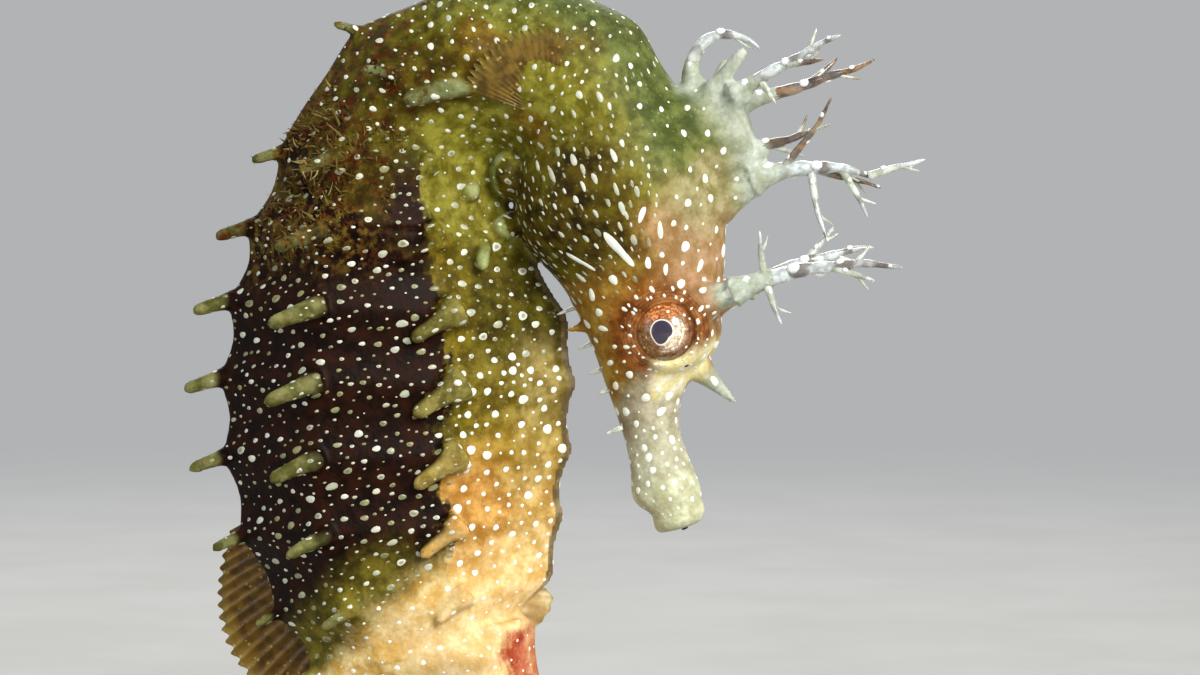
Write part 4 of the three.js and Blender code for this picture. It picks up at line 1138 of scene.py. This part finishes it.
def on_flank(tree, along, back, side):
    """The skin's surface beside a place on the head's axis."""
    return ray_hit(tree, on_head(along, back, side * 20), side)


def ray_hit(tree, start, side):
    """Where a ray straight in from one side meets the skin, and the skin's normal there."""
    hit, normal, _, _ = tree.ray_cast(start * MM, (0, -side, 0))
    return (np.array(hit) / MM, normal) if hit else (None, None)


def add_streaks(shape, tree, rng):
    for side in (LEFT, RIGHT):
        for start, end, width in CHEEK_MARKS:
            lengthwise = on_head(*end, 0) - on_head(*start, 0)
            reach = np.linalg.norm(lengthwise) / 2
            domes = ((0.36, 1.15), (0.62, 0.85)) if reach > 1 else ((0.5, 1.0),)
            for share, size in domes:
                along, back = between(start, end, share)
                hit, normal = on_flank(tree, along, back, side)
                if hit is not None:
                    size *= width * rng.uniform(0.9, 1.1)
                    stretch = 0.9 * reach / size
                    add_spot(shape, tree, hit, normal, size, stretch, lengthwise, 0.0, 0.0, STREAK_SIDES)


EYE_RINGS = ((2.25, 22, 0.085), (2.75, 16, 0.115))  # radius, count, half width of the spots


def add_eye_ring(shape, tree, rng):
    """Small spots that stand round each orbit."""
    for side in (LEFT, RIGHT):
        for radius, count, size in EYE_RINGS:
            for k in range(count):
                angle = 2 * math.pi * (k + rng.uniform(-0.45, 0.45)) / count
                out = math.cos(angle) * aim(0, 1, 0, 0) + math.sin(angle) * aim(0, 0, 1, 0)
                hit, normal = ray_hit(tree, EYE_MIDDLE + radius * out + (0, side * 20, 0), side)
                if hit is not None:
                    size_here = size * rng.uniform(0.7, 1.4)
                    add_spot(shape, tree, hit, normal, size_here, 1.6, hit - EYE_MIDDLE, 0.0)


# ------------------------------------------------------------------ filaments

def filament_radius(thick, tip, t, run):
    """Half width of a filament at a share t of its length, with slight knots along it."""
    knots = 1 + 0.1 * np.sin(run * 4.3) * smoothstep(t, 0.2, 0.5)
    return (thick * (1 - t) ** 0.75 + tip) * knots


def add_filament(shape, path, thick, tip, brown, bead_space=0.0):
    run = np.concatenate([[0], np.cumsum(np.linalg.norm(np.diff(path, axis=0), axis=1))])
    t = run / run[-1]
    radii = filament_radius(thick, tip, t, run)
    radii[-1] *= 0.4
    shape.loft(tube_rings(path, radii, FILAMENT_SIDES), run=np.repeat(run, FILAMENT_SIDES), brown=brown,
               bead=0)
    if bead_space:
        up = path_frames(path)[0]
        for k, at in enumerate(np.arange(0.9, run[-1], bead_space)):
            i = min(np.searchsorted(run, at), len(path) - 2)
            turn = (1 if k % 2 else -1) * (0.5 + 0.35 * math.sin(5 * k + path[0, 0]))
            way = up[i] * turn + np.array([0, 0, 0.6]) * math.cos(3 * k)
            way /= np.linalg.norm(way)
            size = (0.55 + 0.15 * math.sin(7 * k)) * radii[i] + 0.05
            add_bead(shape, path[i] + way * radii[i] * 0.72, size, path[i + 1] - path[i])


def add_bead(shape, centre, size, ahead):
    """A white bead, drawn out along its filament."""
    ahead = ahead / np.linalg.norm(ahead)
    side = np.cross(ahead, (0.1, 1, 0.2))
    side /= np.linalg.norm(side)
    across = np.cross(ahead, side)
    shape.loft(ellipsoid(centre, BEAD_STRETCH * size * ahead, size * side, size * across, 6, 8, 8), bead=1)


def make_filaments():
    """Every filament with its branches and their finest forks."""
    shape = Shape()
    for index, (name, (_, rise, _, bend, _, thick, branches)) in enumerate(CIRRI.items()):
        path = CIRRUS_PATHS[name]
        brown = float(name in BROWN_CIRRI)
        add_filament(shape, path, thick * FILAMENT_SHARE, FILAMENT_TIP, brown, BEAD_SPACE)
        for k, (at, turn, reach, curl, sway) in enumerate(branches):
            root = path[min(int(at * (len(path) - 1)), len(path) - 2)]
            twig = strand(root, turn, reach, curl, sway, 0.12, index + 2 * k)
            brown_twig = float((name, k) in BROWN_TWIGS)
            add_filament(shape, twig, *TWIG, brown_twig, TWIG_BEAD_SPACE)
            if reach > 2.5:
                start = twig[int(0.62 * (len(twig) - 1))]
                fork = 40 if k % 2 else -38
                fine = strand(start, turn + fork, 1.2, 12, sway * 0.3, 0.1, k)
                add_filament(shape, fine, *FORK, brown_twig)
        start = path[int(0.72 * (len(path) - 1))]
        heading = rise + bend * 0.72 + (38 if index % 2 else -36)
        add_filament(shape, strand(start, heading, 1.6, 14, 0.3, 0.1, index), *SIDE_TWIG, brown)
    return shape.mesh("filaments")


CHIN_HAIRS = [(15.6, 1.6), (13.0, 1.2), (11.2, 1.0), (9.8, 0.8), (7.2, 1.2)]  # at, length


def make_chin_hairs():
    """Short pale hairs along the throat."""
    shape = Shape()
    for i, (along, length) in enumerate(CHIN_HAIRS):
        for side in (LEFT, RIGHT):
            belly = float(profile(BELLY, np.array(along)))
            root = on_head(along, -belly * 0.93, side * (0.7 + 0.1 * i))
            path = root + np.outer(np.linspace(0, length, 8), aim(0, -0.1, -1, side * 0.35))
            add_filament(shape, path, *HAIR, 0.0)
    return shape.mesh("chin_hairs")


GROWTH_TRIES = 60000


def make_growth(skin, tree):
    """Short rough tufts of growth in clumps over the shoulder."""
    rng = np.random.default_rng(29)
    pick, weights, places = scatter(skin, GROWTH_TRIES, rng)
    s, girth = values_at(skin, pick, weights, "along", "girth")
    clump = np.array([noise.noise(Vector(p) * 0.45) for p in places])
    middle = bump(s, 43.5, 5) * bump(girth, 1.9, 0.8)
    wanted = np.flatnonzero((middle > 0.3) & (clump + 0.5 * middle > 0.3))
    kept = spaced(places[wanted], rng.uniform(0.12, 0.34, len(wanted)), {})
    shape = Shape()
    t = np.linspace(-0.25, 1, 6)[:, None]
    for i in wanted[kept]:
        _, normal, _, _ = tree.find_nearest(places[i] * MM)
        way = np.array(normal) + rng.normal(0, 0.5, 3)
        length = rng.uniform(0.15, 0.6) * (0.5 + middle[i])
        path = places[i] + length * (way / np.linalg.norm(way) * t + rng.normal(0, 0.4, 3) * t**2)
        radii = rng.uniform(0.05, 0.1) * (1.1 - t[:, 0].clip(0, 1))
        shape.loft(tube_rings(path, radii, 5), shade=rng.random())
    return shape.mesh("growth")


def growth_material():
    m = Nodes("growth")
    shade = m.shaken(m.value("shade"), m.noise(2.5, 3), 1.2)
    colour = m.mix(m.ramp(shade, 0.2, 0.5), 0x4E1E08, 0x5E4C18)
    colour = m.mix(m.ramp(shade, 0.7, 1.1), colour, 0x8E8650)
    return m.finish(Base_Color=colour, Roughness=0.7, Normal=m.bump(m.noise(0.2, 3), 0.03, 0.5),
                    Specular_IOR_Level=0.2)


NOSTRIL = (9.9, 1.75)  # by the head's axis
MOUTH_SIZE, NOSTRIL_SIZE = (0.7, 0.2, 0.07), (0.16, 0.13, 0.05)  # half width, height and depth


def make_openings(tree):
    """The mouth's slit at the snout's tip and the nostrils before the eyes, as dark lenses in the skin that
    paint the shade of their hollows.
    """
    shape = Shape()
    tip = place(0, (float(profile(BACK, 0)) - float(profile(BELLY, 0))) / 2 + 0.25, 0)
    lenses = [(tip - aim(0, 1, 0, 0) * 0.3, aim(0, 1, 0, 0), *MOUTH_SIZE)]
    for side in (LEFT, RIGHT):
        hit, normal = on_flank(tree, *NOSTRIL, side)
        lenses.append((hit, np.array(normal), *NOSTRIL_SIZE))
    for centre, out, wide, tall, deep in lenses:
        across = np.cross(out, (0.0, 0.0, 1.0)) if abs(out[2]) < 0.9 else np.array([0.0, 1.0, 0.0])
        across /= np.linalg.norm(across)
        over = np.cross(out, across)
        shape.loft(ellipsoid(centre, deep * out, wide * across, tall * over, 9, 16, 5))
    return shape.mesh("openings")


def opening_material():
    m = Nodes("openings")
    # painted shade: the dark of the mouth's and nostrils' hollows
    return m.finish(Base_Color=m.mix(m.noise(0.2), 0x1A0F0A, 0x32201A), Roughness=0.5)


# ------------------------------------------------------------------ eyes

def make_eye(side):
    """A ball whose outer half carries a teardrop pupil, with the values that its material paints by."""
    polar = np.concatenate([np.linspace(0, 1.15, 34), np.linspace(1.2, math.pi, 10)])
    rings, sides = len(polar), 64
    angle = evenly_round(sides)
    centre = place(EYE["at"], EYE["v"], side * EYE["out"])
    p, a = np.meshgrid(polar, angle, indexing="ij")
    ahead, up = np.cos(a), np.sin(a)  # towards the snout and towards the brow
    out = np.cos(p) * EYE["radius"]
    flat = np.sin(p) * EYE["radius"]
    spoke = ahead[..., None] * -aim(0, 1, 0, 0) + up[..., None] * aim(0, 0, 1, 0)
    sideways = np.stack([np.zeros_like(out), side * out, np.zeros_like(out)], -1)
    points = centre + flat[..., None] * spoke + sideways
    towards_front = np.arctan2(np.sin(a + 0.5), np.cos(a + 0.5))
    notch = 0.1 * bump(np.arctan2(np.sin(a - 0.55), np.cos(a - 0.55)), 0, 0.35)
    reach = 0.7 + 0.16 * bump(towards_front, 0, 0.5) - notch
    shape = Shape()
    faces = [tuple(f) if side == RIGHT else tuple(f)[::-1] for f in grid_faces(rings, sides)]
    shape.add(points, faces, pupil_edge=(flat - reach).ravel(), radius=flat.ravel() + 10 * (out < 0).ravel(),
              upper=(-flat * ahead / EYE["radius"]).ravel(),
              lower_front=(flat * (0.75 * ahead + 0.65 * up) / EYE["radius"]).ravel())
    return shape.mesh("eye")


# ------------------------------------------------------------------ fins

PECTORAL = {"at": 29.6, "v": -1.2, "out": 4.7, "reach": 5.4, "spread": 80, "rays": 17, "root": 2.6,
            "tone": 0.06}
DORSAL = {"from": 65.5, "to": 76, "sign": 1, "height": 4.8, "rake": 3.2, "rays": 19, "column": BACK,
          "tone": 0.0}
ANAL = {"from": 71.4, "to": 73.6, "sign": -1, "height": 1.3, "rake": 1.0, "rays": 4, "column": BELLY,
        "tone": 0.9}
STEPS_PER_RAY = 6
FIN_THICK = 0.1


def membrane(name, middle, normal, ray_share, reach_share, tone):
    """A thin closed sheet about a grid of points, thicker along its rays."""
    ray_share, reach_share = (np.broadcast_to(v, middle.shape[:2]) for v in (ray_share, reach_share))
    thick = FIN_THICK * (0.35 + 0.9 * ray_share) * (1.1 - 0.6 * reach_share)
    front, back = middle + normal * thick[..., None], middle - normal * thick[..., None]
    rows, columns = middle.shape[:2]
    rings = np.concatenate([front, back[:, ::-1]], axis=1)
    faces = [tuple(f) for f in grid_faces(rows, columns * 2)]
    for row, flip in ((0, 1), (rows - 1, -1)):
        first, last = row * columns * 2, (row + 1) * columns * 2 - 1
        faces += [(first + k, first + k + 1, last - k - 1, last - k)[::flip] for k in range(columns - 1)]
    ray, reach = (np.concatenate([v, v[:, ::-1]], 1).ravel() for v in (ray_share, reach_share))
    shape = Shape()
    shape.add(rings.reshape(-1, 3), faces, tone=tone, ray=ray, reach=reach)
    return shape.mesh(name)


def ray_pattern(rays):
    t = np.linspace(0, 1, rays * STEPS_PER_RAY + 1)
    return t, np.cos(np.pi * t * rays) ** 2


def make_pectoral(side):
    p = PECTORAL
    ray_way = aim(p["at"], 0.82, 0.42, side * 0.38)
    out = np.array([0, side, 0.0])
    normal = out - ray_way * (out @ ray_way)
    normal /= np.linalg.norm(normal)
    across = np.cross(normal, ray_way)
    root = place(p["at"], p["v"], side * (p["out"] - 0.35))
    t, ray_share = ray_pattern(p["rays"])
    angle = np.radians(p["spread"]) * (t - 0.5)
    r = np.linspace(0, 1, 16)[:, None]
    reach = p["reach"] * (0.9 + 0.1 * ray_share) * (1 - 0.16 * (2 * t - 1) ** 2)
    flat_ray = r * reach * np.cos(angle)
    flat_across = p["root"] / 2 * np.sin(angle) + r * reach * np.sin(angle)
    ripple = 0.22 * r**1.5 * np.sin(angle * 5) + 0.5 * r**2 * np.cos(angle * 1.2)
    middle = root + flat_ray[..., None] * ray_way + flat_across[..., None] * across
    middle = middle + ripple[..., None] * normal
    return membrane("pectoral", middle, normal, ray_share, r, p["tone"])


def make_middle_fin(fin):
    t, ray_share = ray_pattern(fin["rays"])
    r = np.linspace(0, 1, 14)[:, None]
    s = fin["from"] + (fin["to"] - fin["from"]) * t
    foot = profile(fin["column"], s) - 0.9
    tall = (fin["height"] + 0.9) * np.sin(np.pi * (0.18 + 0.68 * t)) * (0.93 + 0.07 * ray_share)
    at = s + fin["rake"] * (t + 0.35) * r**1.2
    lean = 0.35 * r**1.5 * np.sin(t * 9)
    v = fin["sign"] * (foot + tall * r)
    return membrane("fin", place(at, v, lean), np.array([0, 1.0, 0]), ray_share, r, fin["tone"])


# ------------------------------------------------------------------ stand

BASE = {"radius": 29.0, "thick": 6.0, "edge": 1.0}
RODS = {"stand_rod_body": 95.5, "stand_rod_tail": 121.5}


def turned(profile_rh, centre, sides):
    """A turned body from its outline, from the axis at the bottom to the axis at the top."""
    angle = evenly_round(sides)
    rings = [np.stack([centre[0] + r * np.cos(angle), centre[1] + r * np.sin(angle), np.full(sides, h)], -1)
             for r, h in profile_rh]
    shape = Shape()
    shape.loft(rings)
    return shape.mesh("turned")


def make_base():
    r, h, e = BASE["radius"], BASE["thick"], BASE["edge"]
    corner = np.radians(np.linspace(0, 90, 7))
    low = [(r - 0.5 + 0.5 * math.sin(a), 0.5 - 0.5 * math.cos(a)) for a in corner]
    high = [(r - e + e * math.cos(a), h - e + e * math.sin(a)) for a in corner]
    groove = [(r - 3.2, h), (r - 3.4, h - 0.25), (r - 3.7, h - 0.25), (r - 3.9, h)]
    return turned([(0.01, 0), (r - 2, 0)] + low + high + groove + [(0.01, h)], (0, 0), 160)


def make_rod(s):
    """A rod up to a shallow cup that the tail lies in."""
    x, z, _ = axis(s)
    high = float(z - profile(BACK, np.array(s))) + 0.15
    low = BASE["thick"] - 0.05
    foot = [(0.01, 0), (2.15, 0), (2.2, 0.7), (1.9, 1.0), (1.3, 1.2), (1.1, 1.7)]
    cup = [(1.1, 2.9), (1.25, 2.2), (1.8, 0.9), (2.0, 0.1), (1.9, 0), (0.01, 0.5)]
    outline_rh = [(r, low + h) for r, h in foot] + [(r, high - h) for r, h in cup]
    return turned(outline_rh, (float(x), 0), 40)


# ------------------------------------------------------------------ the model

def build():
    skin_data = make_skin()
    piece("skin", skin_data, skin_material(), SKIN_NODES)
    spots, tree = make_spots(skin_data)
    piece("spots", spots, spot_material())
    piece("growth", make_growth(skin_data, tree), growth_material())
    piece("openings", make_openings(tree), opening_material())
    filament = filament_material()
    piece("filaments", make_filaments(), filament, list(CIRRI))
    piece("chin_hairs", make_chin_hairs(), filament)
    eye = eye_material()
    piece("eye_ball_right", make_eye(RIGHT), eye, ["eye_right"])
    piece("eye_ball_left", make_eye(LEFT), eye, ["eye_left"])
    fin = fin_material()
    piece("pectoral_right", make_pectoral(RIGHT), fin, ["pectoral_fin_right"])
    piece("pectoral_left", make_pectoral(LEFT), fin, ["pectoral_fin_left"])
    piece("dorsal", make_middle_fin(DORSAL), fin, ["dorsal_fin"])
    piece("anal", make_middle_fin(ANAL), fin, ["anal_fin"])
    piece("base", make_base(), wood_material(), ["stand_base"])
    steel = steel_material()
    for node, s in RODS.items():
        piece(node.replace("stand_", ""), make_rod(s), steel, [node])


# ------------------------------------------------------------------ floor, lights and camera

CAMERA_TURN, CAMERA_RISE, CAMERA_AWAY = 10.0, 3.0, 0.25
VIEW_CENTRE = Vector((6.33, 0, 63.5)) * MM
VIEW_WIDTH = 78.5 * MM


def look_at(thing, place_from, target):
    thing.location = place_from
    thing.rotation_euler = (target - place_from).to_track_quat("-Z", "Y").to_euler()


def make_camera():
    data = bpy.data.cameras.new("camera")
    data.sensor_width = 36
    data.lens = data.sensor_width * CAMERA_AWAY / VIEW_WIDTH
    data.clip_start, data.clip_end = 0.01, 20
    camera = placed("camera", data)
    turn, rise = math.radians(CAMERA_TURN), math.radians(CAMERA_RISE)
    way = Vector((math.sin(turn) * math.cos(rise), -math.cos(turn) * math.cos(rise), math.sin(rise)))
    look_at(camera, VIEW_CENTRE + way * CAMERA_AWAY, VIEW_CENTRE)
    bpy.context.scene.camera = camera


LIGHTS = [  # name, place and size in metres, watts, colour
    ("key", (0.34, -0.36, 0.34), 0.22, 4.0, (1.0, 0.97, 0.92)),
    ("fill", (-0.55, -0.35, 0.22), 0.5, 0.7, (0.93, 0.97, 1.0)),
    ("back", (-0.15, 0.55, 0.45), 0.4, 2.2, (1.0, 1.0, 1.0)),
]
LIGHTS_AIM = Vector((0, 0, 55)) * MM
BACKDROP = (0.44, 0.45, 0.46)
FLOOR_RADIUS = 1.5


def make_lights():
    for name, where, size, power, colour in LIGHTS:
        data = bpy.data.lights.new(name, "AREA")
        data.size, data.energy, data.color = size, power, colour
        look_at(placed(name, data), Vector(where), LIGHTS_AIM)
    world = bpy.data.worlds.new("world")
    world.use_nodes = True
    backdrop = world.node_tree.nodes["Background"]
    backdrop.inputs["Color"].default_value = (*BACKDROP, 1)
    backdrop.inputs["Strength"].default_value = 1.0
    bpy.context.scene.world = world


def make_floor():
    data = bpy.data.meshes.new("floor")
    rim = [(FLOOR_RADIUS * math.cos(a), FLOOR_RADIUS * math.sin(a), 0) for a in evenly_round(64)]
    data.from_pydata(rim, [], [list(range(len(rim)))])
    data.materials.append(floor_material())
    placed("floor", data)


make_camera()
build()
make_floor()
make_lights()
bpy.context.scene.view_settings.view_transform = "Standard"
